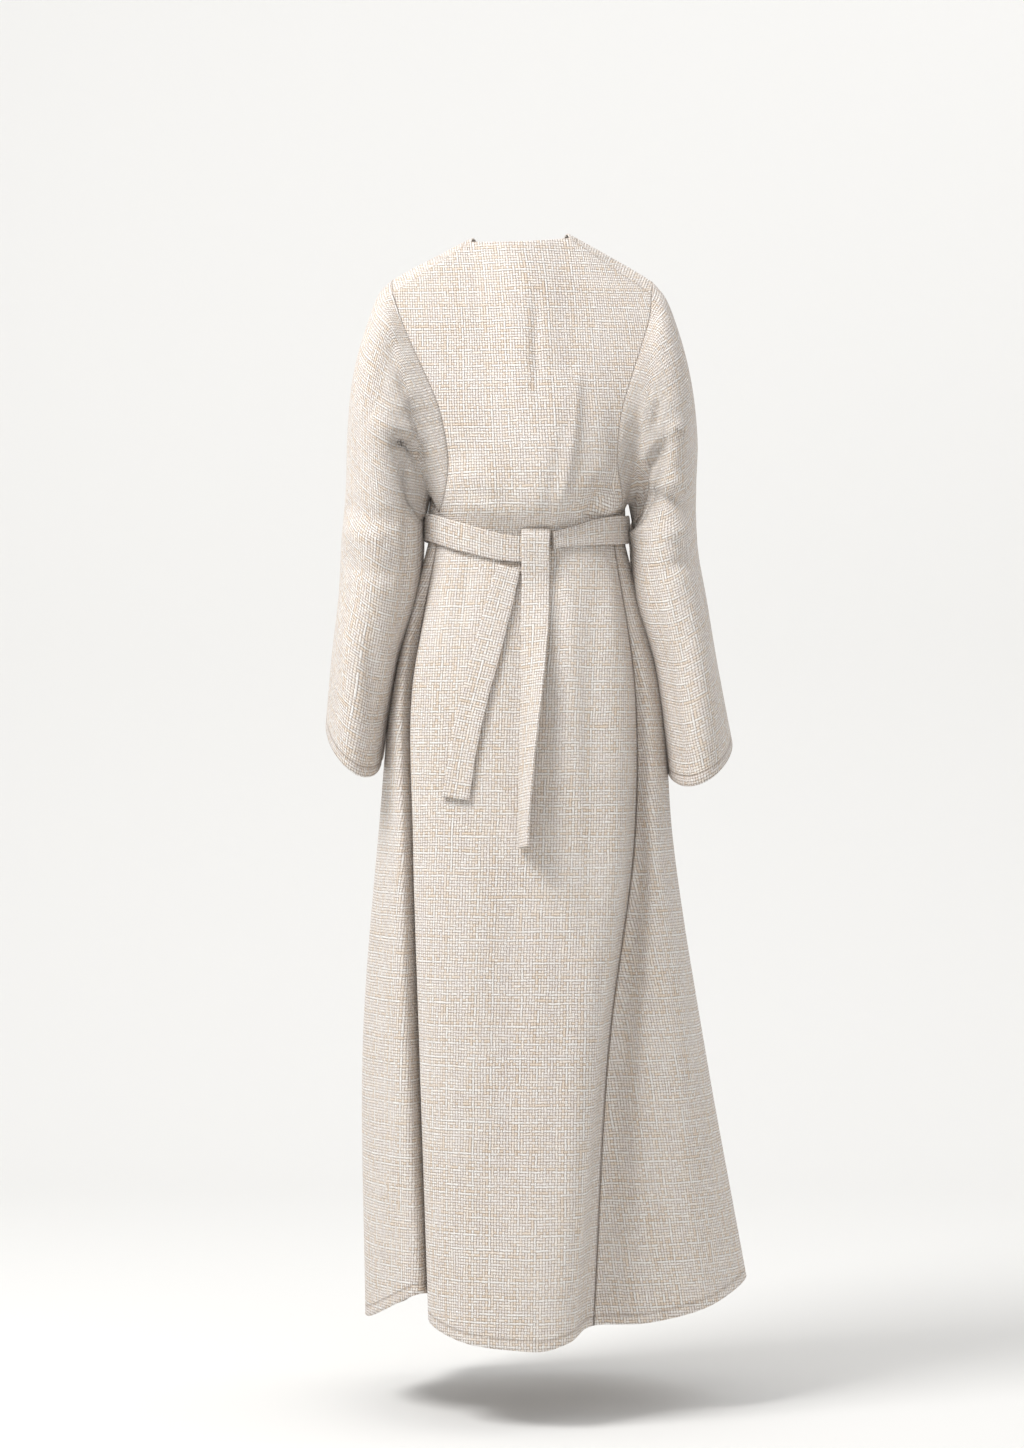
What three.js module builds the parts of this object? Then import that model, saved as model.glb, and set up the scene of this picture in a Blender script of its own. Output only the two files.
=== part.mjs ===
// A long tweed abaya in its worn shape, hollow and open at the neck, cuffs and hem, closed by its own belt
// that is tied at the back. Lengths are millimetres and +Z is up. The back faces +Y and the garment's own
// left side is at +X. Height zero is the top of the shoulders, midway between the neck points.
import * as THREE from "three";

// Driving dimensions of the cloth and the belt.
const CLOTH = 2.4;
const SEAM_GAP = 0.5;
const BELT_THICKNESS = 5;
const BELT_CLEARANCE = 0.7;
const BAND_HALF = 22; // half the height of the gathered band of cloth that the belt covers
const WRAP_OVER = 5; // how far the right front stands outside the left one where they overlap

// The waist is a squarish oval. Angles run from the back centre, positive towards the left side.
const WAIST = { centre: 7, halfWidth: 132, back: 84, front: 106, squareness: 2.3 };

// Height of the belt's centre line: it dips from both sides to the knot.
const BELT_LINE = [
  { angle: -192, z: -386, width: 38 },
  { angle: -110, z: -386, width: 38 },
  { angle: -80, z: -389, width: 38 },
  { angle: -43, z: -394, width: 36 },
  { angle: -11.5, z: -407, width: 23 },
  { angle: 2.5, z: -418, width: 34 },
  { angle: 38, z: -401, width: 38 },
  { angle: 70, z: -387, width: 38 },
  { angle: 110, z: -385, width: 38 },
  { angle: 192, z: -386, width: 38 },
];

// Heights of the levels at which the skirt is measured.
const HIP = -600;
const THIGH = -800;
const KNEE = -1080;

// The skirt, one row for each edge, fold and seam, from the left front edge round the back to the right
// front edge. "angle" and "top" place it below and above the belt, "sink" is how far it lies inside the oval.
// The other columns are [x, y] at each level, and "hem" ends with the height of the hem there.
const LEFT_FRONT_SKIRT = [
  { at: "edge", angle: 192, top: 192, sink: 0,
    hip: [-14, -126], thigh: [2, -150], knee: [24, -180], hem: [48, -202, -1450] },
  { at: "inner", angle: 170, top: 170, sink: 0,
    hip: [48, -128], thigh: [64, -153], knee: [86, -186], hem: [106, -210, -1452] },
  { at: "ridge", angle: 150, top: 150, sink: 0,
    hip: [98, -116], thigh: [116, -140], knee: [140, -168], hem: [158, -190, -1450] },
  { at: "valley", angle: 132, top: 132, sink: 1,
    hip: [136, -84], thigh: [152, -98], knee: [172, -112], hem: [178, -122, -1449] },
  { at: "side", angle: 106, top: 106, sink: 0,
    hip: [176, -36], thigh: [200, -38], knee: [224, -40], hem: [222, -44, -1450] },
  { at: "flank", angle: 88, top: 86, sink: 0,
    hip: [186, 18], thigh: [203, 32], knee: [218, 40], hem: [214, 36, -1441] },
  { at: "lip", angle: 76, top: 73, sink: 1,
    hip: [174, 62], thigh: [173, 94], knee: [168, 108], hem: [150, 112, -1400] },
];
const BACK_SKIRT = [
  { at: "left seam", angle: 67, top: 63, sink: 3,
    hip: [158, 40], thigh: [150, 52], knee: [140, 56], hem: [130, 62, -1412] },
  { at: "left turn", angle: 55, top: 44, sink: 1,
    hip: [155, 82], thigh: [155, 106], knee: [146, 122], hem: [134, 130, -1435] },
  { at: "left back", angle: 27, top: 23, sink: 0,
    hip: [96, 110], thigh: [104, 136], knee: [98, 158], hem: [88, 176, -1453] },
  { at: "centre", angle: -3, top: -3, sink: 0,
    hip: [8, 120], thigh: [14, 148], knee: [22, 174], hem: [26, 196, -1459] },
  { at: "right back", angle: -28, top: -31, sink: 0,
    hip: [-72, 114], thigh: [-56, 144], knee: [-32, 174], hem: [-14, 198, -1460] },
  { at: "right turn", angle: -48, top: -56, sink: 1,
    hip: [-124, 86], thigh: [-112, 124], knee: [-74, 158], hem: [-46, 184, -1452] },
  { at: "right seam", angle: -62, top: -76, sink: 2.5,
    hip: [-136, 54], thigh: [-136, 68], knee: [-100, 98], hem: [-80, 104, -1443] },
];
const RIGHT_FRONT_SKIRT = [
  { at: "rise", angle: -73, top: -84, sink: 1,
    hip: [-150, 54], thigh: [-160, 80], knee: [-150, 106], hem: [-150, 102, -1440] },
  { at: "crest", angle: -88, top: -94, sink: 0,
    hip: [-171, 20], thigh: [-183, 44], knee: [-206, 78], hem: [-232, 74, -1424] },
  { at: "side", angle: -108, top: -110, sink: 0,
    hip: [-169, -24], thigh: [-186, -18], knee: [-231, -4], hem: [-289, -8, -1397] },
  { at: "valley", angle: -130, top: -130, sink: 1,
    hip: [-142, -78], thigh: [-158, -94], knee: [-188, -118], hem: [-230, -134, -1420] },
  { at: "ridge", angle: -150, top: -150, sink: -1,
    hip: [-100, -118], thigh: [-118, -142], knee: [-138, -174], hem: [-160, -202, -1436] },
  { at: "inner", angle: -170, top: -170, sink: -WRAP_OVER,
    hip: [-46, -133], thigh: [-60, -159], knee: [-78, -190], hem: [-98, -214, -1446] },
  { at: "edge", angle: -192, top: -192, sink: -WRAP_OVER,
    hip: [14, -134], thigh: [0, -158], knee: [-22, -186], hem: [-46, -208, -1448] },
];

// The upper edges, one row for each height, from the belt band up to the shoulder seam, which lies a
// little behind the shoulder's ridge. The first row is the band itself. Each entry is [x, y, z].
const UPPER_EDGES = [
  { at: "underarm", leftFront: [-16, -110, -325], leftArmFront: [130, 8, -340], leftArmBack: [116, 66, -345],
    rightFront: [29, -119, -325], rightArmFront: [-124, 2, -338], rightArmBack: [-119, 62, -345] },
  { at: "rib", leftFront: [0, -113, -270], leftArmFront: [131, -26, -312], leftArmBack: [111, 76, -308],
    rightFront: [24, -122, -270], rightArmFront: [-127, -24, -312], rightArmBack: [-113, 76, -308] },
  { at: "bust", leftFront: [18, -106, -205], leftArmFront: [127, -56, -280], leftArmBack: [115, 80, -268],
    rightFront: [12, -115, -205], rightArmFront: [-124, -52, -281], rightArmBack: [-114, 80, -268] },
  { at: "chest", leftFront: [36, -88, -135], leftArmFront: [123, -77, -238], leftArmBack: [124, 79, -230],
    rightFront: [-4, -93, -135], rightArmFront: [-119, -75, -240], rightArmBack: [-120, 79, -230] },
  { at: "blade", leftFront: [52, -62, -76], leftArmFront: [132, -83, -184], leftArmBack: [138, 74, -195],
    rightFront: [-20, -64, -74], rightArmFront: [-120, -83, -186], rightArmBack: [-132, 74, -190] },
  { at: "yoke", leftFront: [67, -28, -18], leftArmFront: [158, -60, -112], leftArmBack: [155, 66, -158],
    rightFront: [-35, -28, -12], rightArmFront: [-140, -60, -112], rightArmBack: [-146, 64, -146] },
  { at: "ridge", leftFront: [79, 6, 4], leftArmFront: [187, -4, -52], leftArmBack: [173, 54, -116],
    rightFront: [-47, 6, 10], rightArmFront: [-161, -4, -54], rightArmBack: [-157, 54, -108] },
  { at: "seam", leftFront: [83, 28, -4], leftArmFront: [186, 38, -74], leftArmBack: [186, 38, -74],
    rightFront: [-51, 28, 1], rightArmFront: [-160, 38, -76], rightArmBack: [-160, 38, -76] },
];
// The back's neckline, from its left end to its right one, where the shoulder seams begin.
const BACK_NECK = [[83, 28, -4], [16, 48, -6], [-51, 28, 1]];
const BACK_EASE = -4;
const BACK_FADE = 1.4;
const FRONT_EASE = 10;
const FRONT_FADE = 2.6;

// The sleeves, one row for each ring from just outside the armhole to the cuff: its outermost and
// innermost points as [x, z], its reach to the back and front, how far its back hangs lower, and how far
// its front half leans in towards the body and its back half out.
const LEFT_SLEEVE = [
  { outer: [204, -68], inner: [142, -300], back: 80, front: -62, sag: 0, lean: 0 },
  { outer: [221, -112], inner: [148, -284], back: 87, front: -76, sag: 0, lean: 0 },
  { outer: [240, -184], inner: [157, -294], back: 90, front: -90, sag: -6, lean: 6 },
  { outer: [248, -262], inner: [153, -336], back: 90, front: -98, sag: -8, lean: 14 },
  { outer: [250, -332], inner: [151, -372], back: 90, front: -104, sag: -6, lean: 20 },
  { outer: [256, -405], inner: [151, -410], back: 92, front: -110, sag: 0, lean: 24 },
  { outer: [260, -481], inner: [163, -484], back: 96, front: -114, sag: 0, lean: 24 },
  { outer: [269, -559], inner: [182, -562], back: 100, front: -118, sag: -6, lean: 22 },
  { outer: [277, -646], inner: [204, -700], back: 104, front: -122, sag: -38, lean: 16 },
];
const RIGHT_SLEEVE = [
  { outer: [-178, -74], inner: [-135, -306], back: 80, front: -56, sag: 0, lean: 0 },
  { outer: [-194, -114], inner: [-142, -290], back: 87, front: -76, sag: 0, lean: 0 },
  { outer: [-213, -188], inner: [-150, -300], back: 90, front: -90, sag: -6, lean: 6 },
  { outer: [-222, -264], inner: [-144, -342], back: 90, front: -98, sag: -8, lean: 12 },
  { outer: [-220, -340], inner: [-139, -376], back: 88, front: -104, sag: -6, lean: 18 },
  { outer: [-222, -409], inner: [-141, -412], back: 88, front: -110, sag: 0, lean: 20 },
  { outer: [-234, -481], inner: [-151, -484], back: 94, front: -116, sag: 0, lean: 22 },
  { outer: [-247, -560], inner: [-169, -566], back: 100, front: -122, sag: -6, lean: 20 },
  { outer: [-269, -672], inner: [-184, -712], back: 104, front: -126, sag: -34, lean: 16 },
];

// The knot sits right of the middle. "left" and "right" are the angles at which the run's ends meet it.
const KNOT = { x: -4, z: -416, height: 28, left: 1, right: -11.5, gap: 0.4 };
const WRAP = { top: -396, bottom: -436, gap: 1.1, width: 37, bow: 1 };

// The two tails, one row for each bend: its place on the back panel, its width and its twist.
const CENTRE_TAIL = [
  { x: -4, z: -462, width: 37, twist: 0 },
  { x: -3, z: -520, width: 37, twist: 6 },
  { x: 0, z: -590, width: 37, twist: 30 },
  { x: 7, z: -690, width: 37, twist: 52 },
  { x: 11, z: -770, width: 37, twist: 68 },
  { x: 12, z: -810, width: 37, twist: 72 },
];
const LEFT_TAIL = [
  { x: 31, z: -442, width: 30, twist: 0 },
  { x: 43, z: -487, width: 36, twist: 0 },
  { x: 62, z: -560, width: 37, twist: 0 },
  { x: 86, z: -655, width: 37, twist: 0 },
  { x: 101, z: -748, width: 37, twist: 0 },
];
const TAIL_CLEARANCE = 1.5;
const TAIL_STEPS = 4;
const BELT_STEPS = 72;

// The armhole's middle height, half height and reach in y, which give each of its points a turn.
const ARMHOLE = { middle: -210, half: 165, reach: 85 };

// How far past a grid square's edge, as a part of it, a point still counts as over that square.
const EDGE_SLACK = 0.1;
// Halvings of the search along the belt line.
const HALVINGS = 20;

// Grid steps of the cloth.
const COLUMNS = { back: 4, front: 3 };
const SKIRT_STEPS = [4, 3, 4, 4];
const UPPER_STEP = 2;
const SLEEVE_STEPS = [2, 3, 3, 1, 1, 1, 2, 2, 2];

const BODY_COLOUR = "#e2d8cd";
const SLEEVE_COLOUR = "#e4dace";
const BELT_COLOUR = "#e6ddd2";
const CLOTH_ROUGHNESS = 0.92;

const radians = THREE.MathUtils.degToRad;

function vector(point) {
  return new THREE.Vector3(point[0], point[1], point[2]);
}

// A row of points on the smooth curve through the given ones, with so many steps in each span.
function sampled(points, steps) {
  const row = [];
  const curve = new THREE.CatmullRomCurve3(points);
  const spans = points.length - 1;
  for (let span = 0; span < spans; span += 1) {
    const count = Array.isArray(steps) ? steps[span] : steps;
    for (let step = 0; step < count; step += 1) row.push(curve.getPoint((span + step / count) / spans));
  }
  row.push(points[spans].clone());
  return row;
}

// The belt line at an angle: its height as y and the belt's width as z.
const BELT_CURVE = new THREE.CatmullRomCurve3(
  BELT_LINE.map((row) => new THREE.Vector3(row.angle, row.z, row.width)),
);

function beltLine(angle) {
  let low = 0;
  let high = 1;
  for (let halving = 0; halving < HALVINGS; halving += 1) {
    const middle = (low + high) / 2;
    if (BELT_CURVE.getPoint(middle).x < angle) low = middle;
    else high = middle;
  }
  const found = BELT_CURVE.getPoint(low);
  return { z: found.y, width: found.z };
}

// A point of the waist oval, moved out by "out".
function waistPoint(angle, out, z) {
  const sine = Math.sin(radians(angle));
  const cosine = Math.cos(radians(angle));
  const power = 2 / WAIST.squareness;
  const depth = cosine > 0 ? WAIST.back : WAIST.front;
  const x = WAIST.centre + (WAIST.halfWidth + out) * Math.sign(sine) * Math.abs(sine) ** power;
  const y = (depth + out) * Math.sign(cosine) * Math.abs(cosine) ** power;
  return new THREE.Vector3(x, y, z);
}

// The levels of one skirt row as points, from the lower edge of the belt band to the hem.
function skirtLevels(row) {
  return [
    waistPoint(row.angle, -row.sink, beltLine(row.angle).z - BAND_HALF),
    vector([...row.hip, HIP]),
    vector([...row.thigh, THIGH]),
    vector([...row.knee, KNEE]),
    vector(row.hem),
  ];
}

// The whole skirt as rows of points from the hem up to the top of the belt band, each row running from
// the left front edge round to the right front edge.
function skirtGrid() {
  const stations = [...LEFT_FRONT_SKIRT, ...BACK_SKIRT, ...RIGHT_FRONT_SKIRT];
  const steps = stations.slice(1).map((_, span) => {
    const inBack = span >= LEFT_FRONT_SKIRT.length && span < LEFT_FRONT_SKIRT.length + BACK_SKIRT.length - 1;
    return inBack ? COLUMNS.back : COLUMNS.front;
  });
  const columns = stations.map((row) => sampled(skirtLevels(row), SKIRT_STEPS));
  const rows = [];
  for (let level = columns[0].length - 1; level >= 0; level -= 1) {
    rows.push(sampled(columns.map((column) => column[level]), steps));
  }
  const tops = stations.map((row) => waistPoint(row.top, -row.sink, beltLine(row.top).z + BAND_HALF));
  rows.push(sampled(tops, steps));
  const backStart = LEFT_FRONT_SKIRT.length * COLUMNS.front;
  const backEnd = backStart + (BACK_SKIRT.length - 1) * COLUMNS.back;
  return { rows, backStart, backEnd };
}

// A panel filled in between its four edges, eased along Y in its middle. The lower edge's bends fade
// with the power "fade" on the way up, so that the part that turns under the arm stays low.
function filledPanel(bottom, top, first, last, ease, fade) {
  const rows = [];
  const across = bottom.length - 1;
  const up = first.length - 1;
  const lengths = [0];
  for (let c = 1; c <= across; c += 1) lengths.push(lengths[c - 1] + bottom[c].distanceTo(bottom[c - 1]));
  for (let r = 1; r <= up; r += 1) {
    const v = r / up;
    const start = bottom[0].clone().lerp(top[0], v);
    const end = bottom[across].clone().lerp(top[across], v);
    const row = [];
    for (let c = 0; c <= across; c += 1) {
      const u = lengths[c] / lengths[across];
      const point = start.clone().lerp(end, u);
      const lowBend = bottom[c].clone().sub(bottom[0].clone().lerp(bottom[across], u));
      const topBend = top[c].clone().sub(top[0].clone().lerp(top[across], u));
      point.addScaledVector(lowBend, (1 - v) ** fade).addScaledVector(topBend, v ** fade);
      point.addScaledVector(first[r].clone().sub(start), 1 - u).addScaledVector(last[r].clone().sub(end), u);
      point.y += ease * Math.sin(Math.PI * u) * Math.sin(Math.PI * v);
      row.push(point);
    }
    rows.push(row);
  }
  return rows;
}

// One upper edge, from the belt band up, as points.
function upperEdge(start, name) {
  return sampled([start, ...UPPER_EDGES.map((row) => vector(row[name]))], UPPER_STEP);
}

function straight(from, to, count) {
  return Array.from({ length: count + 1 }, (_, step) => from.clone().lerp(to, step / count));
}

// The three body panels as grids, rows from the hem up.
function bodyPanels() {
  const { rows, backStart, backEnd } = skirtGrid();
  const cut = (from, to) => rows.map((row) => row.slice(from, to + 1));
  const leftRows = cut(0, backStart);
  const backRows = cut(backStart, backEnd);
  const rightRows = cut(backEnd, rows[0].length - 1);
  const band = rows.length - 1;

  const backBand = backRows[band];
  const backLeft = upperEdge(backBand[0], "leftArmBack");
  const backRight = upperEdge(backBand[backBand.length - 1], "rightArmBack");
  const neck = sampled(BACK_NECK.map(vector), COLUMNS.back);
  const seamColumns = (backBand.length - neck.length) / 2;
  const backTop = [
    ...straight(backLeft[backLeft.length - 1], neck[0], seamColumns).slice(0, -1),
    ...neck,
    ...straight(neck[neck.length - 1], backRight[backRight.length - 1], seamColumns).slice(1),
  ];
  const back = [...backRows, ...filledPanel(backBand, backTop, backLeft, backRight, BACK_EASE, BACK_FADE)];

  const leftBand = leftRows[band];
  const leftEdge = upperEdge(leftBand[0], "leftFront");
  const leftArm = upperEdge(leftBand[leftBand.length - 1], "leftArmFront");
  const leftTop = straight(leftEdge[leftEdge.length - 1], leftArm[leftArm.length - 1], leftBand.length - 1);
  const left = [...leftRows, ...filledPanel(leftBand, leftTop, leftEdge, leftArm, -FRONT_EASE, FRONT_FADE)];

  const rightBand = rightRows[band];
  const rightEdge = upperEdge(rightBand[rightBand.length - 1], "rightFront");
  const rightArm = upperEdge(rightBand[0], "rightArmFront");
  const rightTop = straight(
    rightArm[rightArm.length - 1], rightEdge[rightEdge.length - 1], rightBand.length - 1);
  const right = [
    ...rightRows,
    ...filledPanel(rightBand, rightTop, rightArm, rightEdge, -FRONT_EASE, FRONT_FADE),
  ];
  return { left, back, right, band };
}

// A sleeve's rings from the armhole to the cuff. Each armhole point keeps its own turn round the sleeve.
function sleeveRings(armhole, table) {
  const columns = armhole.map((start) => {
    const turn = Math.atan2(start.y / ARMHOLE.reach, (start.z - ARMHOLE.middle) / ARMHOLE.half);
    const points = [start];
    for (const ring of table) {
      const outer = new THREE.Vector3(ring.outer[0], 0, ring.outer[1]);
      const inner = new THREE.Vector3(ring.inner[0], 0, ring.inner[1]);
      const middle = outer.clone().add(inner).divideScalar(2);
      const half = outer.sub(inner).divideScalar(2);
      const side = Math.sign(half.x);
      half.x = side * Math.sqrt(half.x ** 2 - ring.lean ** 2);
      const reach = Math.sin(turn) > 0 ? ring.back : -ring.front;
      const point = middle.addScaledVector(half, Math.cos(turn));
      point.x += side * ring.lean * Math.sin(turn);
      point.y += reach * Math.sin(turn);
      point.z += ring.sag * Math.max(0, Math.sin(turn));
      points.push(point);
    }
    return sampled(points, SLEEVE_STEPS);
  });
  return columns[0].map((_, level) => columns.map((column) => column[level]));
}

// The direction that the cloth faces at each grid point. "closed" joins each row's end to its start.
function facings(grid, closed) {
  const up = grid.length - 1;
  const around = grid[0].length;
  return grid.map((row, r) => row.map((_, c) => {
    const before = closed ? row[(c + around - 1) % around] : row[Math.max(c - 1, 0)];
    const after = closed ? row[(c + 1) % around] : row[Math.min(c + 1, around - 1)];
    const below = grid[Math.max(r - 1, 0)][c];
    const above = grid[Math.min(r + 1, up)][c];
    return after.clone().sub(before).cross(above.clone().sub(below)).normalize();
  }));
}

// A closed wall of the given thickness with the grid as its middle layer.
function wall(grid, facing, thickness, closed) {
  const around = grid[0].length;
  const layers = [thickness / 2, -thickness / 2].map((out) =>
    grid.map((row, r) => row.map((point, c) => point.clone().addScaledVector(facing[r][c], out))));
  const positions = [];
  const index = [];
  for (const layer of layers) for (const row of layer) for (const p of row) positions.push(p.x, p.y, p.z);
  const at = (layer, r, c) => (layer * grid.length + r) * around + (c % around);
  const quad = (a, b, c, d) => index.push(a, b, c, a, c, d);
  const spans = closed ? around : around - 1;
  for (let r = 0; r + 1 < grid.length; r += 1) {
    for (let c = 0; c < spans; c += 1) {
      quad(at(0, r, c), at(0, r, c + 1), at(0, r + 1, c + 1), at(0, r + 1, c));
      quad(at(1, r, c), at(1, r + 1, c), at(1, r + 1, c + 1), at(1, r, c + 1));
    }
    if (!closed) {
      quad(at(0, r, 0), at(0, r + 1, 0), at(1, r + 1, 0), at(1, r, 0));
      quad(at(0, r, spans), at(1, r, spans), at(1, r + 1, spans), at(0, r + 1, spans));
    }
  }
  const last = grid.length - 1;
  for (let c = 0; c < spans; c += 1) {
    quad(at(0, 0, c), at(1, 0, c), at(1, 0, c + 1), at(0, 0, c + 1));
    quad(at(0, last, c), at(0, last, c + 1), at(1, last, c + 1), at(1, last, c));
  }
  const geometry = new THREE.BufferGeometry();
  geometry.setAttribute("position", new THREE.Float32BufferAttribute(positions, 3));
  geometry.setIndex(index);
  geometry.computeVertexNormals();
  return geometry;
}

// Gives the places that meet in one seam point the mean of their facings, so that the walls mitre.
function mitre(places) {
  const mean = new THREE.Vector3();
  for (const [facing, r, c] of places) mean.add(facing[r][c]);
  mean.normalize();
  for (const [facing, r, c] of places) facing[r][c].copy(mean);
}

// The facing along a grid's top row at a place x.
function facingAt(row, facing, x) {
  const sign = Math.sign(row[row.length - 1].x - row[0].x);
  for (let c = 0; c + 1 < row.length; c += 1) {
    if ((row[c + 1].x - x) * sign >= 0) {
      const part = Math.min(Math.max((x - row[c].x) / (row[c + 1].x - row[c].x), 0), 1);
      return facing[c].clone().lerp(facing[c + 1], part).normalize();
    }
  }
  return facing[row.length - 1].clone();
}

// The mitre along a shoulder seam, whose two sides have their own steps. The neckline beside it keeps
// the back's own facing.
function shoulderMitre(backRow, backFacing, frontRow, frontFacing) {
  const low = Math.min(frontRow[0].x, frontRow[frontRow.length - 1].x);
  const high = Math.max(frontRow[0].x, frontRow[frontRow.length - 1].x);
  const means = (row, facing, otherRow, otherFacing) => row.map((point, c) =>
    (point.x < low - SEAM_GAP || point.x > high + SEAM_GAP ? facing[c]
      : facing[c].clone().add(facingAt(otherRow, otherFacing, point.x)).normalize()));
  const backMeans = means(backRow, backFacing, frontRow, frontFacing);
  const frontMeans = means(frontRow, frontFacing, backRow, backFacing);
  backMeans.forEach((mean, c) => backFacing[c].copy(mean));
  frontMeans.forEach((mean, c) => frontFacing[c].copy(mean));
}

// Moves an edge point into its own piece, square to the mitre, by half the seam's gap.
function drawBack(point, inner, facing, along) {
  const into = inner.clone().sub(point);
  into.addScaledVector(facing, -into.dot(facing));
  const edge = along.clone().addScaledVector(facing, -along.dot(facing)).normalize();
  into.addScaledVector(edge, -into.dot(edge)).normalize();
  point.addScaledVector(into, SEAM_GAP / 2);
}

// Draws an edge column back from its seam, "towards" being the step to the next column inside.
function drawColumnBack(grid, facing, column, towards) {
  const line = grid.map((row) => row[column].clone());
  grid.forEach((row, r) => {
    const along = line[Math.min(r + 1, line.length - 1)].clone().sub(line[Math.max(r - 1, 0)]);
    drawBack(row[column], row[column + towards], facing[r][column], along);
  });
}

// Draws the first or last row back from its seam. A closed row runs on from its end to its start.
function drawRowBack(grid, facing, row, towards, closed) {
  const line = grid[row].map((point) => point.clone());
  const count = line.length;
  line.forEach((_, c) => {
    const after = closed ? line[(c + 1) % count] : line[Math.min(c + 1, count - 1)];
    const before = closed ? line[(c + count - 1) % count] : line[Math.max(c - 1, 0)];
    drawBack(grid[row][c], grid[row + towards][c], facing[row][c], after.clone().sub(before));
  });
}

// The height of the back panel's surface in y, over a place x, z.
function backSurface(grid, x, z) {
  let found = -Infinity;
  for (let r = 0; r + 1 < grid.length; r += 1) {
    for (let c = 0; c + 1 < grid[r].length; c += 1) {
      const a = grid[r][c];
      const b = grid[r][c + 1];
      const d = grid[r + 1][c];
      const across = (x - a.x) * (d.z - a.z) - (z - a.z) * (d.x - a.x);
      const up = (b.x - a.x) * (z - a.z) - (b.z - a.z) * (x - a.x);
      const whole = (b.x - a.x) * (d.z - a.z) - (b.z - a.z) * (d.x - a.x);
      const s = across / whole;
      const t = up / whole;
      if (s >= -EDGE_SLACK && s <= 1 + EDGE_SLACK && t >= -EDGE_SLACK && t <= 1 + EDGE_SLACK) {
        const e = grid[r + 1][c + 1];
        const near = a.y * (1 - s) + b.y * s;
        const far = d.y * (1 - s) + e.y * s;
        found = Math.max(found, near * (1 - t) + far * t);
      }
    }
  }
  return found;
}

// A flat strip along a path: each path row has its centre, its width and its twist about its own length.
function strip(path, thickness) {
  const edges = [[], []];
  const facing = [[], []];
  const across = new THREE.Vector3(1, 0, 0);
  path.forEach((row, k) => {
    const before = path[Math.max(k - 1, 0)].centre;
    const after = path[Math.min(k + 1, path.length - 1)].centre;
    const along = after.clone().sub(before).normalize();
    const out = across.clone().cross(along).normalize().applyAxisAngle(along, radians(row.twist));
    const side = along.clone().cross(out).normalize();
    [1, -1].forEach((sign, layer) => {
      edges[layer].push(row.centre.clone().addScaledVector(side, (sign * row.width) / 2));
      facing[layer].push(out);
    });
  });
  return wall(edges, facing, thickness, false);
}

// The tail's path: its own first points, then rows that lie on the back panel, lifted clear of it.
function tailPath(backGrid, start, rows) {
  const centres = [...start];
  const sizes = start.map(() => ({ width: WRAP.width, twist: 0 }));
  for (const row of rows) {
    const half = row.width / 2;
    const tipped = Math.abs(Math.sin(radians(row.twist))) * half;
    const rise = backSurface(backGrid, row.x + half, row.z) - backSurface(backGrid, row.x - half, row.z);
    const slope = Math.atan2(rise, row.width);
    const lean = THREE.MathUtils.radToDeg(slope);
    const lift = (CLOTH / 2 + BELT_THICKNESS / 2 + TAIL_CLEARANCE) / Math.cos(slope) + tipped;
    centres.push(new THREE.Vector3(row.x, backSurface(backGrid, row.x, row.z) + lift, row.z));
    sizes.push({ width: row.width, twist: row.twist - lean });
  }
  const path = sampled(centres, TAIL_STEPS);
  return path.map((centre, k) => {
    const span = Math.min(Math.floor(k / TAIL_STEPS), sizes.length - 2);
    const part = k / TAIL_STEPS - span;
    const blend = (name) => sizes[span][name] * (1 - part) + sizes[span + 1][name] * part;
    return { centre, width: blend("width"), twist: blend("twist") };
  });
}

// The belt's run round the waist, from the knot's right side round the front to its left side.
function beltRun() {
  const rows = [[], []];
  const facing = [[], []];
  const out = CLOTH / 2 + BELT_CLEARANCE + BELT_THICKNESS / 2;
  for (let step = 0; step <= BELT_STEPS; step += 1) {
    const angle = KNOT.right + ((KNOT.left - 360 - KNOT.right) * step) / BELT_STEPS;
    const wrapped = angle < -180 ? angle + 360 : angle;
    const line = beltLine(wrapped);
    const centre = waistPoint(wrapped, out, line.z);
    if (centre.y < 0) centre.y *= 1 + WRAP_OVER / WAIST.front;
    const ahead = waistPoint(wrapped - 1, out, line.z);
    const behind = waistPoint(wrapped + 1, out, line.z);
    const face = ahead.sub(behind).cross(new THREE.Vector3(0, 0, 1)).normalize();
    [-1, 1].forEach((sign, layer) => {
      rows[layer].push(centre.clone().setZ(line.z + (sign * line.width) / 2));
      facing[layer].push(face);
    });
  }
  return wall(rows, facing, BELT_THICKNESS, false);
}

// The knot's core between the two ends of the run, under the wrap.
function knotCore() {
  const out = CLOTH / 2 + BELT_CLEARANCE + BELT_THICKNESS / 2;
  const left = waistPoint(KNOT.left, out, 0).x - KNOT.gap;
  const right = waistPoint(KNOT.right, out, 0).x + KNOT.gap;
  const centres = [KNOT.z + KNOT.height / 2, KNOT.z - KNOT.height / 2].map((z) => ({
    centre: new THREE.Vector3((left + right) / 2, WAIST.back + out, z),
    width: left - right,
    twist: 0,
  }));
  return strip(centres, BELT_THICKNESS);
}

function clothMaterial(colour) {
  return new THREE.MeshStandardMaterial({ color: colour, roughness: CLOTH_ROUGHNESS, metalness: 0 });
}

function addPart(group, name, geometry, colour) {
  const mesh = new THREE.Mesh(geometry, clothMaterial(colour));
  mesh.name = name;
  group.add(mesh);
}

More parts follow.
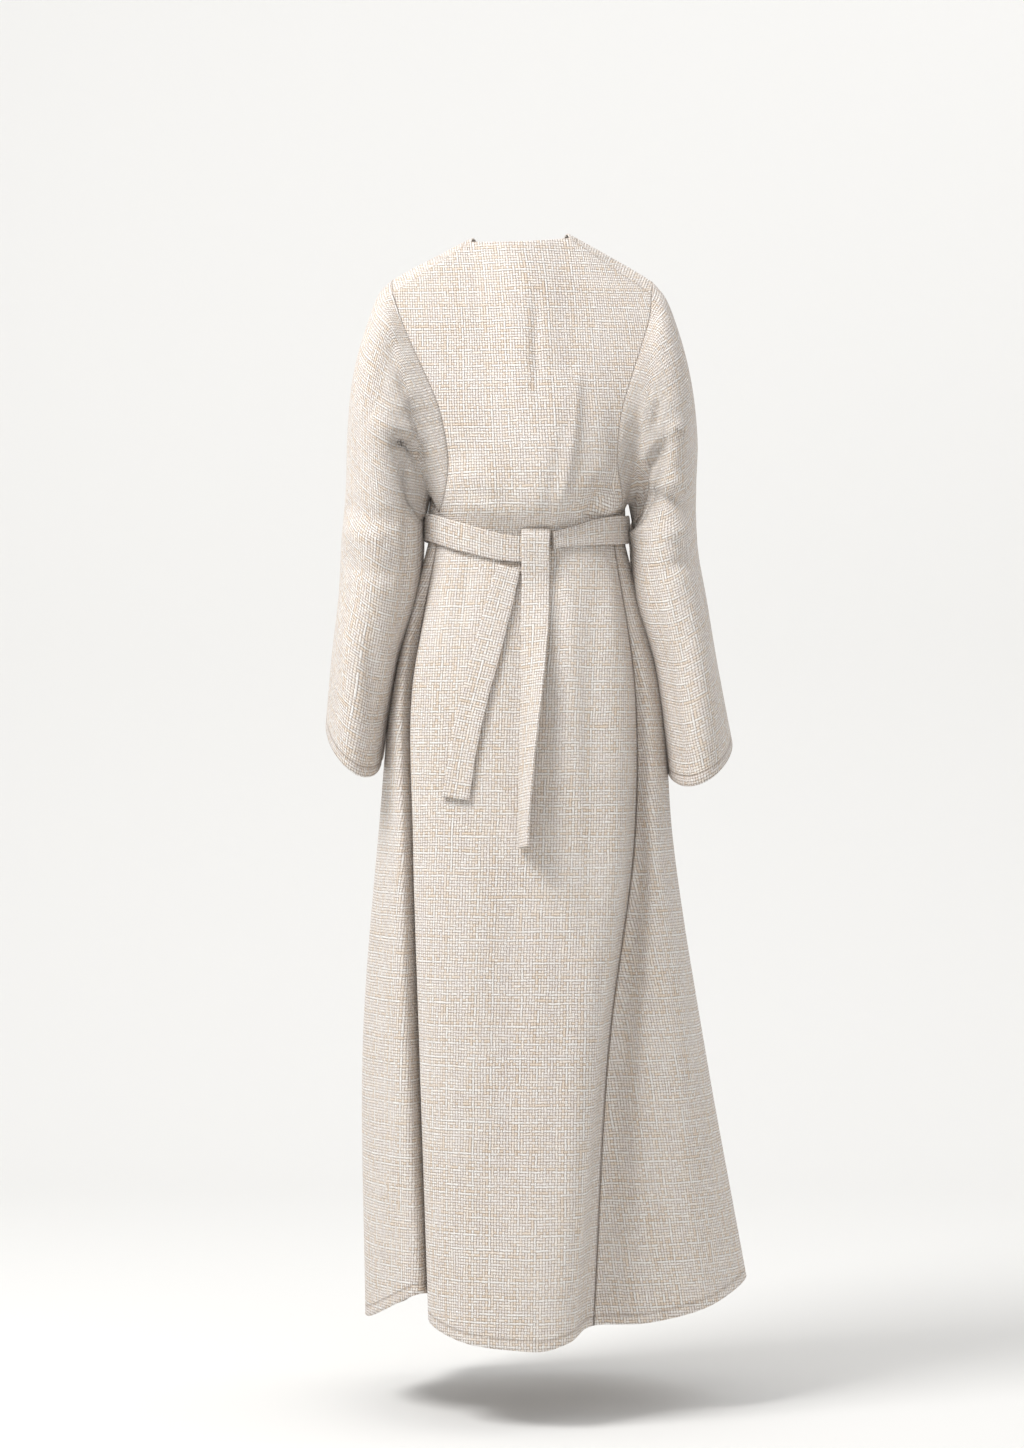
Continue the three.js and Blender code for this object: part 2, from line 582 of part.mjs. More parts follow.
function buildAbaya() {
  const { left, back, right, band } = bodyPanels();
  const top = back.length - 1;
  const lastBack = back[0].length - 1;
  const lastLeft = left[0].length - 1;
  const lastRight = right[0].length - 1;

  const edge = (grid, column) => grid.slice(band).map((row) => row[column]);
  const loop = (one, two) => [...one, ...two.slice(1, -1).reverse()].map((point) => point.clone());
  const leftSleeve = sleeveRings(loop(edge(back, 0), edge(left, lastLeft)), LEFT_SLEEVE);
  const rightSleeve = sleeveRings(loop(edge(right, 0), edge(back, lastBack)), RIGHT_SLEEVE);

  const faces = {
    left: facings(left, false),
    back: facings(back, false),
    right: facings(right, false),
    leftSleeve: facings(leftSleeve, true),
    rightSleeve: facings(rightSleeve, true),
  };
  shoulderMitre(back[top], faces.back[top], left[top], faces.left[top]);
  shoulderMitre(back[top], faces.back[top], right[top], faces.right[top]);
  for (let r = 0; r < band; r += 1) {
    mitre([[faces.back, r, 0], [faces.left, r, lastLeft]]);
    mitre([[faces.back, r, lastBack], [faces.right, r, 0]]);
  }
  const half = top - band;
  for (let step = 0; step <= half; step += 1) {
    const r = band + step;
    const ends = step === 0 || step === half;
    const leftPlaces = [[faces.back, r, 0], [faces.leftSleeve, 0, step]];
    const rightPlaces = [[faces.right, r, 0], [faces.rightSleeve, 0, step]];
    if (ends) {
      mitre([...leftPlaces, [faces.left, r, lastLeft]]);
      mitre([...rightPlaces, [faces.back, r, lastBack]]);
    } else {
      mitre(leftPlaces);
      mitre(rightPlaces);
      mitre([[faces.left, r, lastLeft], [faces.leftSleeve, 0, 2 * half - step]]);
      mitre([[faces.back, r, lastBack], [faces.rightSleeve, 0, 2 * half - step]]);
    }
  }

  drawColumnBack(back, faces.back, 0, 1);
  drawColumnBack(back, faces.back, lastBack, -1);
  drawColumnBack(left, faces.left, lastLeft, -1);
  drawColumnBack(right, faces.right, 0, 1);
  drawRowBack(back, faces.back, top, -1, false);
  drawRowBack(left, faces.left, top, -1, false);
  drawRowBack(right, faces.right, top, -1, false);
  drawRowBack(leftSleeve, faces.leftSleeve, 0, 1, true);
  drawRowBack(rightSleeve, faces.rightSleeve, 0, 1, true);

  const group = new THREE.Group();
  addPart(group, "back", wall(back, faces.back, CLOTH, false), BODY_COLOUR);
  addPart(group, "front_left", wall(left, faces.left, CLOTH, false), BODY_COLOUR);
  addPart(group, "front_right", wall(right, faces.right, CLOTH, false), BODY_COLOUR);
  addPart(group, "sleeve_left", wall(leftSleeve, faces.leftSleeve, CLOTH, true), SLEEVE_COLOUR);
  addPart(group, "sleeve_right", wall(rightSleeve, faces.rightSleeve, CLOTH, true), SLEEVE_COLOUR);
  addPart(group, "belt_run", beltRun(), BELT_COLOUR);
  addPart(group, "belt_knot", knotCore(), BELT_COLOUR);
  const centreTail = tailPath(back, wrapStart(), CENTRE_TAIL);
  const leftTail = tailPath(back, [], LEFT_TAIL);
  addPart(group, "belt_tail_centre", strip(centreTail, BELT_THICKNESS), BELT_COLOUR);
  addPart(group, "belt_tail_left", strip(leftTail, BELT_THICKNESS), BELT_COLOUR);
  return group;
}

// The wrap over the knot: from behind its top, over and down its face.
function wrapStart() {
  const face = WAIST.back + CLOTH / 2 + BELT_CLEARANCE + BELT_THICKNESS;
  const over = BELT_THICKNESS / 2 + WRAP.gap;
  return [
    new THREE.Vector3(KNOT.x, face - BELT_THICKNESS / 2, WRAP.top + over),
    new THREE.Vector3(KNOT.x, face + over + WRAP.bow, WRAP.top - BELT_THICKNESS),
    new THREE.Vector3(KNOT.x, face + over + WRAP.bow, WRAP.bottom),
  ];
}

export default buildAbaya();
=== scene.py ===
import math

import bpy
import numpy as np
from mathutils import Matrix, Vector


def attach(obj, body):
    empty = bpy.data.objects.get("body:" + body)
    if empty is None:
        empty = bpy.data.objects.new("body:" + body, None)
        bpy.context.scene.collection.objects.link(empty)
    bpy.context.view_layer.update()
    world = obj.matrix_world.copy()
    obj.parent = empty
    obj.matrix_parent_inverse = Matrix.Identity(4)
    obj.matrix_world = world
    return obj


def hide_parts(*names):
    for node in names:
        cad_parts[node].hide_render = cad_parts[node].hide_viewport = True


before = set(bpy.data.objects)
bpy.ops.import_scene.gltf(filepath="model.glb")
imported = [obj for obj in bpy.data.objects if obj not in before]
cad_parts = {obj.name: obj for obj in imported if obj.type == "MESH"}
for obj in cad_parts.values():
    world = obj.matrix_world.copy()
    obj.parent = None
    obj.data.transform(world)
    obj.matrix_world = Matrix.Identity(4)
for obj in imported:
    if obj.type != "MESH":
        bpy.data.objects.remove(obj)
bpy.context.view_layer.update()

# A long tweed abaya in its worn shape, tied at the back with its own belt. Lengths are millimetres until
# a mesh is made. +Z is up, +Y is the garment's back and +X is its own left side.
MM = 0.001
CLOTH = 2.4
BELT_THICKNESS = 5.0
BELT_CLEARANCE = 0.7
BAND_HALF = 22.0
WRAP_OVER = 5.0
WAIST_CENTRE, WAIST_HALF, WAIST_BACK, WAIST_FRONT, WAIST_POWER = 7.0, 132.0, 84.0, 106.0, 2.3
HIP, THIGH, KNEE = -600.0, -800.0, -1080.0

# Height of the belt's centre line and its width: angle from the back centre, height, width.
BELT_LINE = [
    (-192, -386, 38), (-110, -386, 38), (-80, -389, 38), (-43, -394, 36), (-11.5, -407, 23),
    (2.5, -418, 34), (38, -401, 38), (70, -387, 38), (110, -385, 38), (192, -386, 38),
]

# The skirt from the left front edge round the back to the right front edge. Columns: name, angle at the
# waist, the angle above the belt, depth inside the waist's oval, then x and y at the hip, the thigh and
# the knee, and the hem's x, y, z.
LEFT_FRONT_SKIRT = [
    ("edge", 192, 192, 0, (-14, -126), (2, -150), (24, -180), (48, -202, -1450)),
    ("inner", 170, 170, 0, (48, -128), (64, -153), (86, -186), (106, -210, -1452)),
    ("ridge", 150, 150, 0, (98, -116), (116, -140), (140, -168), (158, -190, -1450)),
    ("valley", 132, 132, 1, (136, -84), (152, -98), (172, -112), (178, -122, -1449)),
    ("side", 106, 106, 0, (176, -36), (200, -38), (224, -40), (222, -44, -1450)),
    ("flank", 88, 86, 0, (186, 18), (203, 32), (218, 40), (214, 36, -1441)),
    ("lip", 76, 73, 1, (174, 62), (173, 94), (168, 108), (150, 112, -1400)),
]
BACK_SKIRT = [
    ("left seam", 67, 63, 3, (158, 40), (150, 52), (140, 56), (130, 62, -1412)),
    ("left turn", 55, 44, 1, (155, 82), (155, 106), (146, 122), (134, 130, -1435)),
    ("left back", 27, 23, 0, (96, 110), (104, 136), (98, 158), (88, 176, -1453)),
    ("centre", -3, -3, 0, (8, 120), (14, 148), (22, 174), (26, 196, -1459)),
    ("right back", -28, -31, 0, (-72, 114), (-56, 144), (-32, 174), (-14, 198, -1460)),
    ("right turn", -48, -56, 1, (-124, 86), (-112, 124), (-74, 158), (-46, 184, -1452)),
    ("right seam", -62, -76, 2.5, (-136, 54), (-136, 68), (-100, 98), (-80, 104, -1443)),
]
RIGHT_FRONT_SKIRT = [
    ("rise", -73, -84, 1, (-150, 54), (-160, 80), (-150, 106), (-150, 102, -1440)),
    ("crest", -88, -94, 0, (-171, 20), (-183, 44), (-206, 78), (-232, 74, -1424)),
    ("side", -108, -110, 0, (-169, -24), (-186, -18), (-231, -4), (-289, -8, -1397)),
    ("valley", -130, -130, 1, (-142, -78), (-158, -94), (-188, -118), (-230, -134, -1420)),
    ("ridge", -150, -150, -1, (-100, -118), (-118, -142), (-138, -174), (-160, -202, -1436)),
    ("inner", -170, -170, -5, (-46, -133), (-60, -159), (-78, -190), (-98, -214, -1446)),
    ("edge", -192, -192, -5, (14, -134), (0, -158), (-22, -186), (-46, -208, -1448)),
]

# The edges above the belt, from the underarm up to the shoulder seam, as x, y, z.
LEFT_FRONT_EDGE = [(-16, -110, -325), (0, -113, -270), (18, -106, -205), (36, -88, -135),
                   (52, -62, -76), (67, -28, -18), (79, 6, 4), (83, 28, -4)]
LEFT_ARM_FRONT = [(130, 8, -340), (131, -26, -312), (127, -56, -280), (123, -77, -238),
                  (132, -83, -184), (158, -60, -112), (187, -4, -52), (186, 38, -74)]
LEFT_ARM_BACK = [(116, 66, -345), (111, 76, -308), (115, 80, -268), (124, 79, -230),
                 (138, 74, -195), (155, 66, -158), (173, 54, -116), (186, 38, -74)]
RIGHT_FRONT_EDGE = [(29, -119, -325), (24, -122, -270), (12, -115, -205), (-4, -93, -135),
                    (-20, -64, -74), (-35, -28, -12), (-47, 6, 10), (-51, 28, 1)]
RIGHT_ARM_FRONT = [(-124, 2, -338), (-127, -24, -312), (-124, -52, -281), (-119, -75, -240),
                   (-120, -83, -186), (-140, -60, -112), (-161, -4, -54), (-160, 38, -76)]
RIGHT_ARM_BACK = [(-119, 62, -345), (-113, 76, -308), (-114, 80, -268), (-120, 79, -230),
                  (-132, 74, -190), (-146, 64, -146), (-157, 54, -108), (-160, 38, -76)]
BACK_NECK = [(83, 28, -4), (16, 48, -6), (-51, 28, 1)]
BACK_EASE, BACK_FADE, FRONT_EASE, FRONT_FADE = -4.0, 1.4, 10.0, 2.6

# The sleeve rings from the armhole to the cuff. Columns: the outermost x, z, the innermost x, z, the
# reach to the back and to the front, how far the back hangs lower, and how far the front half leans in.
LEFT_SLEEVE = [
    (204, -68, 142, -300, 80, -62, 0, 0),
    (221, -112, 148, -284, 87, -76, 0, 0),
    (240, -184, 157, -294, 90, -90, -6, 6),
    (248, -262, 153, -336, 90, -98, -8, 14),
    (250, -332, 151, -372, 90, -104, -6, 20),
    (256, -405, 151, -410, 92, -110, 0, 24),
    (260, -481, 163, -484, 96, -114, 0, 24),
    (269, -559, 182, -562, 100, -118, -6, 22),
    (277, -646, 204, -700, 104, -122, -38, 16),
]
RIGHT_SLEEVE = [
    (-178, -74, -135, -306, 80, -56, 0, 0),
    (-194, -114, -142, -290, 87, -76, 0, 0),
    (-213, -188, -150, -300, 90, -90, -6, 6),
    (-222, -264, -144, -342, 90, -98, -8, 12),
    (-220, -340, -139, -376, 88, -104, -6, 18),
    (-222, -409, -141, -412, 88, -110, 0, 20),
    (-234, -481, -151, -484, 94, -116, 0, 22),
    (-247, -560, -169, -566, 100, -122, -6, 20),
    (-269, -672, -184, -712, 104, -126, -34, 16),
]
ARM_MIDDLE, ARM_HALF, ARM_REACH = -210.0, 165.0, 85.0

KNOT_X, KNOT_Z, KNOT_LEFT, KNOT_RIGHT = -4.0, -416.0, 1.0, -11.5
WRAP_TOP, WRAP_BOTTOM, WRAP_GAP, WRAP_WIDTH = -396.0, -436.0, 1.1, 37.0
# The tails: x, z, width, twist in degrees.
CENTRE_TAIL = [(-4, -462, 37, 0), (-3, -520, 37, 6), (0, -590, 37, 30), (7, -690, 37, 52),
               (11, -770, 37, 68), (12, -810, 37, 72)]
LEFT_TAIL = [(31, -442, 30, 0), (43, -487, 36, 0), (62, -560, 37, 0), (86, -655, 37, 0), (101, -748, 37, 0)]
TAIL_CLEARANCE = 1.5

# How much softer the seams above the belt look than the folded ones below it, as a distance from them.
SEAM_SOFTNESS = 1.2
FAR = 60.0  # stands for any distance from an edge or a seam that is too long to matter

# Fine steps of the surfaces: in each span between two tabled rows or columns.
BACK_COLUMNS, FRONT_COLUMNS = 16, 12
SKIRT_ROWS = (34, 36, 50, 66)
BAND_ROWS = 8
UPPER_ROWS = 6
SLEEVE_ROWS = (6, 8, 10, 8, 7, 12, 14, 14, 20)


# Curves and panels.

def smooth(points, counts):
    """The smooth curve through rows of points, each row moving on its own, with so many steps in each span.
    It is a cubic whose slopes follow the square roots of the distances between the points."""
    p = np.asarray(points, float)
    p = np.concatenate([(2 * p[0] - p[1])[None], p, (2 * p[-1] - p[-2])[None]])
    parts = []
    for span, count in enumerate(counts):
        a, b, c, d = p[span:span + 4]
        near, mid, far = (np.sqrt(np.linalg.norm(q - r, axis=-1, keepdims=True))
                          for q, r in ((a, b), (b, c), (c, d)))
        mid = np.where(mid < 1e-4, 1.0, mid)
        near = np.where(near < 1e-4, mid, near)
        far = np.where(far < 1e-4, mid, far)
        start = ((b - a) / near - (c - a) / (near + mid) + (c - b) / mid) * mid
        end = ((c - b) / mid - (d - b) / (mid + far) + (d - c) / far) * mid
        t = (np.arange(count) / count).reshape((-1,) + (1,) * (p.ndim - 1))
        square = -3 * b + 3 * c - 2 * start - end
        cube = 2 * b - 2 * c + start + end
        parts.append(b + start * t + square * t ** 2 + cube * t ** 3)
    return np.concatenate(parts + [p[-2][None]])


BELT_CURVE = smooth(BELT_LINE, [60] * (len(BELT_LINE) - 1))


def belt_line(angle):
    """The height and width of the belt at an angle."""
    return tuple(np.interp(angle, BELT_CURVE[:, 0], BELT_CURVE[:, k]) for k in (1, 2))


def waist_point(angle, out, z):
    """A point of the squarish oval of the waist, moved out: sine and cosine of the angle to the power of
    two over the squareness, times the half sizes."""
    angle = np.asarray(angle, float)
    sine, cosine = np.sin(np.radians(angle)), np.cos(np.radians(angle))
    power = 2 / WAIST_POWER
    depth = np.where(cosine > 0, WAIST_BACK, WAIST_FRONT)
    x = WAIST_CENTRE + (WAIST_HALF + out) * np.sign(sine) * np.abs(sine) ** power
    y = (depth + out) * np.sign(cosine) * np.abs(cosine) ** power
    return np.stack([x, y, np.broadcast_to(z, x.shape)], axis=-1)


def skirt_grid():
    """The skirt: smooth lines from the band to the hem through each tabled column, then smooth lines
    round through those, rows from the hem up, with the belt's band on top."""
    stations = LEFT_FRONT_SKIRT + BACK_SKIRT + RIGHT_FRONT_SKIRT
    levels = []
    tops = []
    for _, angle, above, sink, hip, thigh, knee, hem in stations:
        low = belt_line(angle)[0] - BAND_HALF
        levels.append([waist_point(angle, -sink, low), (*hip, HIP), (*thigh, THIGH), (*knee, KNEE), hem])
        tops.append(waist_point(above, -sink, belt_line(above)[0] + BAND_HALF))
    columns = smooth(np.array(levels, float).transpose(1, 0, 2), SKIRT_ROWS)[::-1]
    counts = [FRONT_COLUMNS] * 7 + [BACK_COLUMNS] * 6 + [FRONT_COLUMNS] * 7
    skirt = smooth(columns.transpose(1, 0, 2), counts).transpose(1, 0, 2)
    top = smooth(np.array(tops), counts)
    part = (np.arange(1, BAND_ROWS + 1) / BAND_ROWS)[:, None, None]
    band = skirt[-1] * (1 - part) + top * part
    return np.concatenate([skirt, band]), 7 * FRONT_COLUMNS, 7 * FRONT_COLUMNS + 6 * BACK_COLUMNS


def filled(bottom, top, first, last, ease, fade):
    """A panel between four edges: the straight fill between the side edges, plus the lower edge's bends
    fading upwards and the upper edge's fading downwards, eased along y in its middle."""
    lengths = np.concatenate([[0], np.cumsum(np.linalg.norm(np.diff(bottom, axis=0), axis=1))])
    u = (lengths / lengths[-1])[None, :, None]
    v = (np.arange(1, len(first)) / (len(first) - 1))[:, None, None]
    start = bottom[0] * (1 - v) + top[0] * v
    end = bottom[-1] * (1 - v) + top[-1] * v
    low = (bottom - (bottom[0] * (1 - u[0]) + bottom[-1] * u[0]))[None]
    high = (top - (top[0] * (1 - u[0]) + top[-1] * u[0]))[None]
    grid = start * (1 - u) + end * u + low * (1 - v) ** fade + high * v ** fade
    grid = grid + (first[1:, None] - start) * (1 - u) + (last[1:, None] - end) * u
    grid[..., 1] += ease * (np.sin(np.pi * u) * np.sin(np.pi * v))[..., 0]
    return grid


def upper_edge(start, rows):
    """A side edge above the band, smooth through its tabled points."""
    return smooth([start] + list(rows), [UPPER_ROWS] * len(rows))


def straight(a, b, count):
    """Evenly spaced points from one to the other."""
    part = (np.arange(count + 1) / count)[:, None]
    return np.asarray(a) * (1 - part) + np.asarray(b) * part


def body_panels():
    """The left front, the back and the right front as grids, rows from the hem to the shoulder."""
    rows, back_start, back_end = skirt_grid()
    left, back, right = rows[:, :back_start + 1], rows[:, back_start:back_end + 1], rows[:, back_end:]
    back_left = upper_edge(back[-1, 0], LEFT_ARM_BACK)
    back_right = upper_edge(back[-1, -1], RIGHT_ARM_BACK)
    neck = smooth(BACK_NECK, [BACK_COLUMNS] * 2)
    side = (back.shape[1] - len(neck)) // 2
    top = np.concatenate([straight(back_left[-1], neck[0], side)[:-1], neck,
                          straight(neck[-1], back_right[-1], side)[1:]])
    back = np.concatenate([back, filled(back[-1], top, back_left, back_right, BACK_EASE, BACK_FADE)])
    edge, arm = upper_edge(left[-1, 0], LEFT_FRONT_EDGE), upper_edge(left[-1, -1], LEFT_ARM_FRONT)
    top = straight(edge[-1], arm[-1], left.shape[1] - 1)
    left = np.concatenate([left, filled(left[-1], top, edge, arm, -FRONT_EASE, FRONT_FADE)])
    edge, arm = upper_edge(right[-1, -1], RIGHT_FRONT_EDGE), upper_edge(right[-1, 0], RIGHT_ARM_FRONT)
    top = straight(arm[-1], edge[-1], right.shape[1] - 1)
    right = np.concatenate([right, filled(right[-1], top, arm, edge, -FRONT_EASE, FRONT_FADE)])
    return left, back, right, rows.shape[0] - 1


def sleeve_grid(armhole, table):
    """A sleeve: each armhole point keeps its turn round the sleeve's ovals and runs smoothly through them."""
    turn = np.arctan2(armhole[:, 1] / ARM_REACH, (armhole[:, 2] - ARM_MIDDLE) / ARM_HALF)
    rings = [armhole]
    for ox, oz, ix, iz, back, front, sag, lean in table:
        sine, cosine = np.sin(turn), np.cos(turn)
        side = math.copysign(1, ox - ix)
        half = np.where(sine < 0, math.sqrt((ox - ix) ** 2 / 4 - lean ** 2), abs(ox - ix) / 2)
        x = (ox + ix) / 2 + side * half * cosine + side * lean * np.minimum(sine, 0)
        z = (oz + iz) / 2 + (oz - iz) / 2 * cosine + sag * np.maximum(0, sine)
        y = np.where(sine > 0, back, -front) * sine
        rings.append(np.stack([x, y, z], axis=-1))
    return smooth(np.array(rings), SLEEVE_ROWS)


def hung(grid, armhole, table):
    """A sleeve whose underside hangs: its inner columns move down and towards the body by the tabled
    amounts, which run smoothly from ring to ring."""
    turn = np.arctan2(armhole[:, 1] / ARM_REACH, (armhole[:, 2] - ARM_MIDDLE) / ARM_HALF)
    under = step(-np.cos(turn), 0.1, 0.95)[None]
    moves = smooth(np.array(table, float), SLEEVE_ROWS)
    away = math.copysign(1, grid[..., 0].mean())
    moved = grid.copy()
    moved[..., 0] -= away * moves[:, 1:2] * under
    moved[..., 2] += moves[:, 0:1] * under
    return moved


def facing(grid, closed=False):
    """The direction that the cloth faces: across the rows times up the columns."""
    if closed:
        across = np.roll(grid, -1, axis=1) - np.roll(grid, 1, axis=1)
    else:
        across = np.gradient(grid, axis=1)
    normal = np.cross(across, np.gradient(grid, axis=0))
    return normal / np.maximum(np.linalg.norm(normal, axis=-1, keepdims=True), 1e-9)


def step(value, low, high):
    """A soft step from nought at one value to one at the other."""
    t = np.clip((value - low) / (high - low), 0, 1)
    return t * t * (3 - 2 * t)


def length_along(grid, axis):
    """The distance run along an axis of the grid, from its first place."""
    gaps = np.linalg.norm(np.diff(grid, axis=axis), axis=-1)
    zero = np.zeros_like(np.take(gaps, [0], axis=axis))
    return np.concatenate([zero, np.cumsum(gaps, axis=axis)], axis=axis)


# Creases and folds.

def crease(grid, line, left, right, depth):
    """A soft ridge or trough: depth times a bell of the distance from a line drawn in x and z, with its
    own reach on each side, fading to nothing at both ends of the line."""
    x, z = grid[..., 0], grid[..., 2]
    path = smooth(line, [6] * (len(line) - 1))
    run = np.concatenate([[0], np.cumsum(np.linalg.norm(np.diff(path, axis=0), axis=1))])
    best = np.full(x.shape, 1e9)
    along = np.zeros(x.shape)
    hand = np.zeros(x.shape)
    for k in range(len(path) - 1):
        a, b = path[k], path[k + 1]
        d = b - a
        size = float(np.hypot(*d))
        t = np.clip(((x - a[0]) * d[0] + (z - a[1]) * d[1]) / size ** 2, 0, 1)
        dx, dz = x - a[0] - t * d[0], z - a[1] - t * d[1]
        distance = np.hypot(dx, dz)
        near = distance < best
        best = np.where(near, distance, best)
        along = np.where(near, (run[k] + t * size) / run[-1], along)
        hand = np.where(near, d[0] * dz - d[1] * dx, hand)
    reach = np.where(hand > 0, left, right)
    return depth * np.exp(-(best / reach) ** 2) * np.sin(np.pi * np.clip(along, 0, 1)) ** 0.6


def dressed(grid, face, creases, side, fade_sides=True):
    """The grid moved out along its facing by all its creases, which fade out near its sewn side edges.
    The sign of side picks the part of it that faces the back or the front."""
    out = np.zeros(grid.shape[:2])
    for line, left, right, depth in creases:
        out += crease(grid, line, left, right, depth)
    out *= step(side * face[..., 1], -0.05, 0.35)
    if fade_sides:
        run = length_along(grid, 1)
        out *= step(np.minimum(run, run[:, -1:] - run), 0, 14)
    else:
        out *= step(length_along(grid, 0), 0, 12)
    return grid + face * out[..., None]


# Creases drawn as x and z, then the reach to their left and right as one goes along them, and the depth.
BACK_CREASES = [
    # the diagonal fold from the knot up to the right shoulder blade, its right part lying over
    ([(-21, -392), (-38, -345), (-47, -300), (-54, -250), (-58, -180)], 9, 42, 9.5),
    ([(-8, -392), (-24, -350), (-34, -305), (-42, -262), (-47, -225)], 14, 10, -4.0),
    # the centre back's soft hollow
    ([(-4, -70), (-5, -120), (-5, -170), (-8, -225)], 8, 8, -5.0),
    ([(8, -90), (9, -160), (4, -240), (0, -300)], 26, 22, 1.8),
    # drags towards the left underarm and the belt
    ([(112, -330), (86, -322), (60, -330), (36, -346)], 16, 13, 2.6),
    ([(110, -357), (84, -345), (52, -350), (20, -366)], 9, 9, -2.4),
    ([(104, -300), (70, -270), (40, -262)], 16, 16, -1.6),
    # the tuck beside the right end of the belt
    ([(-68, -380), (-84, -352), (-98, -336), (-118, -330)], 12, 16, -11.0),
    ([(-92, -372), (-108, -356), (-122, -352)], 7, 8, 5.0),
    ([(-60, -384), (-72, -352), (-86, -326), (-104, -306)], 10, 16, 3.2),
    ([(-100, -300), (-86, -262), (-84, -220)], 15, 15, 1.6),
    # soft blousing over the belt
    ([(90, -352), (60, -364), (30, -378)], 8, 10, 2.2),
    ([(66, -300), (58, -340), (52, -372)], 12, 12, 1.6),
    # under the belt: gathers that run down into the skirt
    ([(-27, -438), (-31, -470), (-36, -505), (-37, -560)], 8, 8, -5.0),
    ([(-42, -440), (-46, -520), (-52, -640), (-58, -800), (-56, -930)], 26, 13, 5.0),
    ([(-86, -436), (-84, -500), (-80, -600), (-82, -720)], 18, 18, -3.0),
    ([(-104, -440), (-103, -500), (-106, -580)], 12, 12, 2.2),
    ([(12, -445), (16, -520), (20, -620), (26, -760)], 13, 13, -3.2),
    ([(58, -430), (64, -500), (78, -600), (92, -720)], 22, 22, 2.6),
    ([(96, -425), (104, -480), (118, -560)], 13, 13, 2.0),
    ([(80, -428), (88, -470), (98, -520)], 9, 9, -2.0),
    # the edge of the broad valley on the right
    ([(-118, -760), (-104, -900), (-86, -1034), (-68, -1170), (-48, -1400)], 26, 14, 5.5),
    # long falls of the skirt
    ([(60, -760), (66, -900), (70, -1060), (66, -1250)], 34, 34, 2.6),
    ([(20, -820), (26, -980), (30, -1160), (30, -1340)], 30, 30, -2.2),
    ([(112, -700), (116, -860), (114, -1040), (108, -1240), (104, -1420)], 22, 22, 2.4),
    ([(-70, -860), (-58, -1000), (-44, -1180), (-34, -1400)], 20, 20, 2.4),
]
RIGHT_CREASES = [
    ([(-146, -770), (-138, -900), (-124, -1040), (-114, -1180), (-110, -1330)], 14, 24, -9.0),
    ([(-150, -700), (-168, -860), (-188, -1060), (-214, -1300)], 30, 30, 2.2),
    ([(-190, -900), (-214, -1120), (-246, -1330)], 22, 22, -1.6),
    ([(-150, -1150), (-158, -1260), (-170, -1400)], 24, 24, -2.0),
]
LEFT_CREASES = [
    ([(196, -720), (198, -860), (196, -1040), (190, -1250)], 16, 16, -2.0),
    ([(182, -900), (184, -1060), (178, -1260)], 12, 12, 1.6),
]
FRONT_CREASES = [
    ([(60, -420), (70, -520), (84, -660), (98, -820)], 18, 18, 5.0),
    ([(84, -425), (98, -520), (112, -640)], 14, 14, -4.0),
    ([(20, -424), (26, -520), (36, -660)], 16, 16, -3.0),
    ([(-50, -424), (-60, -540), (-76, -700), (-92, -900)], 20, 20, 5.0),
    ([(-86, -424), (-96, -520), (-110, -640)], 13, 13, -4.2),
    ([(-20, -424), (-26, -500), (-36, -600)], 14, 14, -3.0),
    ([(96, -360), (84, -300), (70, -240)], 16, 16, 3.2),
    ([(60, -372), (52, -320), (50, -270)], 13, 13, -2.6),
    ([(-92, -360), (-80, -300), (-66, -240)], 16, 16, 3.2),
    ([(-56, -372), (-46, -320), (-40, -262)], 13, 13, -2.6),
    ([(120, -820), (130, -1000), (142, -1240)], 26, 26, 4.0),
    ([(-130, -820), (-146, -1000), (-166, -1240)], 26, 26, 4.0),
    ([(20, -420), (-10, -408), (-40, -424)], 10, 10, 1.2),
]
LEFT_SLEEVE_CREASES = [
    # the pouch over the underarm and the tuck below it
    ([(214, -244), (190, -258), (168, -264), (146, -262)], 16, 18, 11.0),
    ([(190, -276), (172, -276), (160, -285), (144, -292)], 7, 9, -13.6),
    # drags from the shoulder towards the elbow
    ([(196, -96), (214, -150), (226, -210), (232, -262)], 22, 16, 5.1),
    ([(176, -130), (196, -180), (206, -226)], 14, 12, -4.4),
    ([(152, -200), (168, -222), (190, -240)], 12, 12, 4.1),
    # the seam under the arm and the creases of the elbow
    ([(168, -296), (166, -330), (168, -390), (171, -456), (178, -520)], 5, 5, -4.4),
    ([(248, -352), (222, -372), (192, -380), (172, -376)], 11, 15, -5.8),
    ([(252, -388), (224, -402), (196, -408)], 14, 12, 4.8),
    ([(254, -428), (226, -446), (196, -450), (172, -440)], 12, 14, -4.4),
    ([(256, -480), (240, -540), (236, -610), (240, -690)], 18, 22, 4.4),
    ([(222, -520), (214, -590), (214, -660)], 12, 14, -4.1),
    ([(196, -500), (198, -570), (204, -640)], 9, 12, 3.1),
]
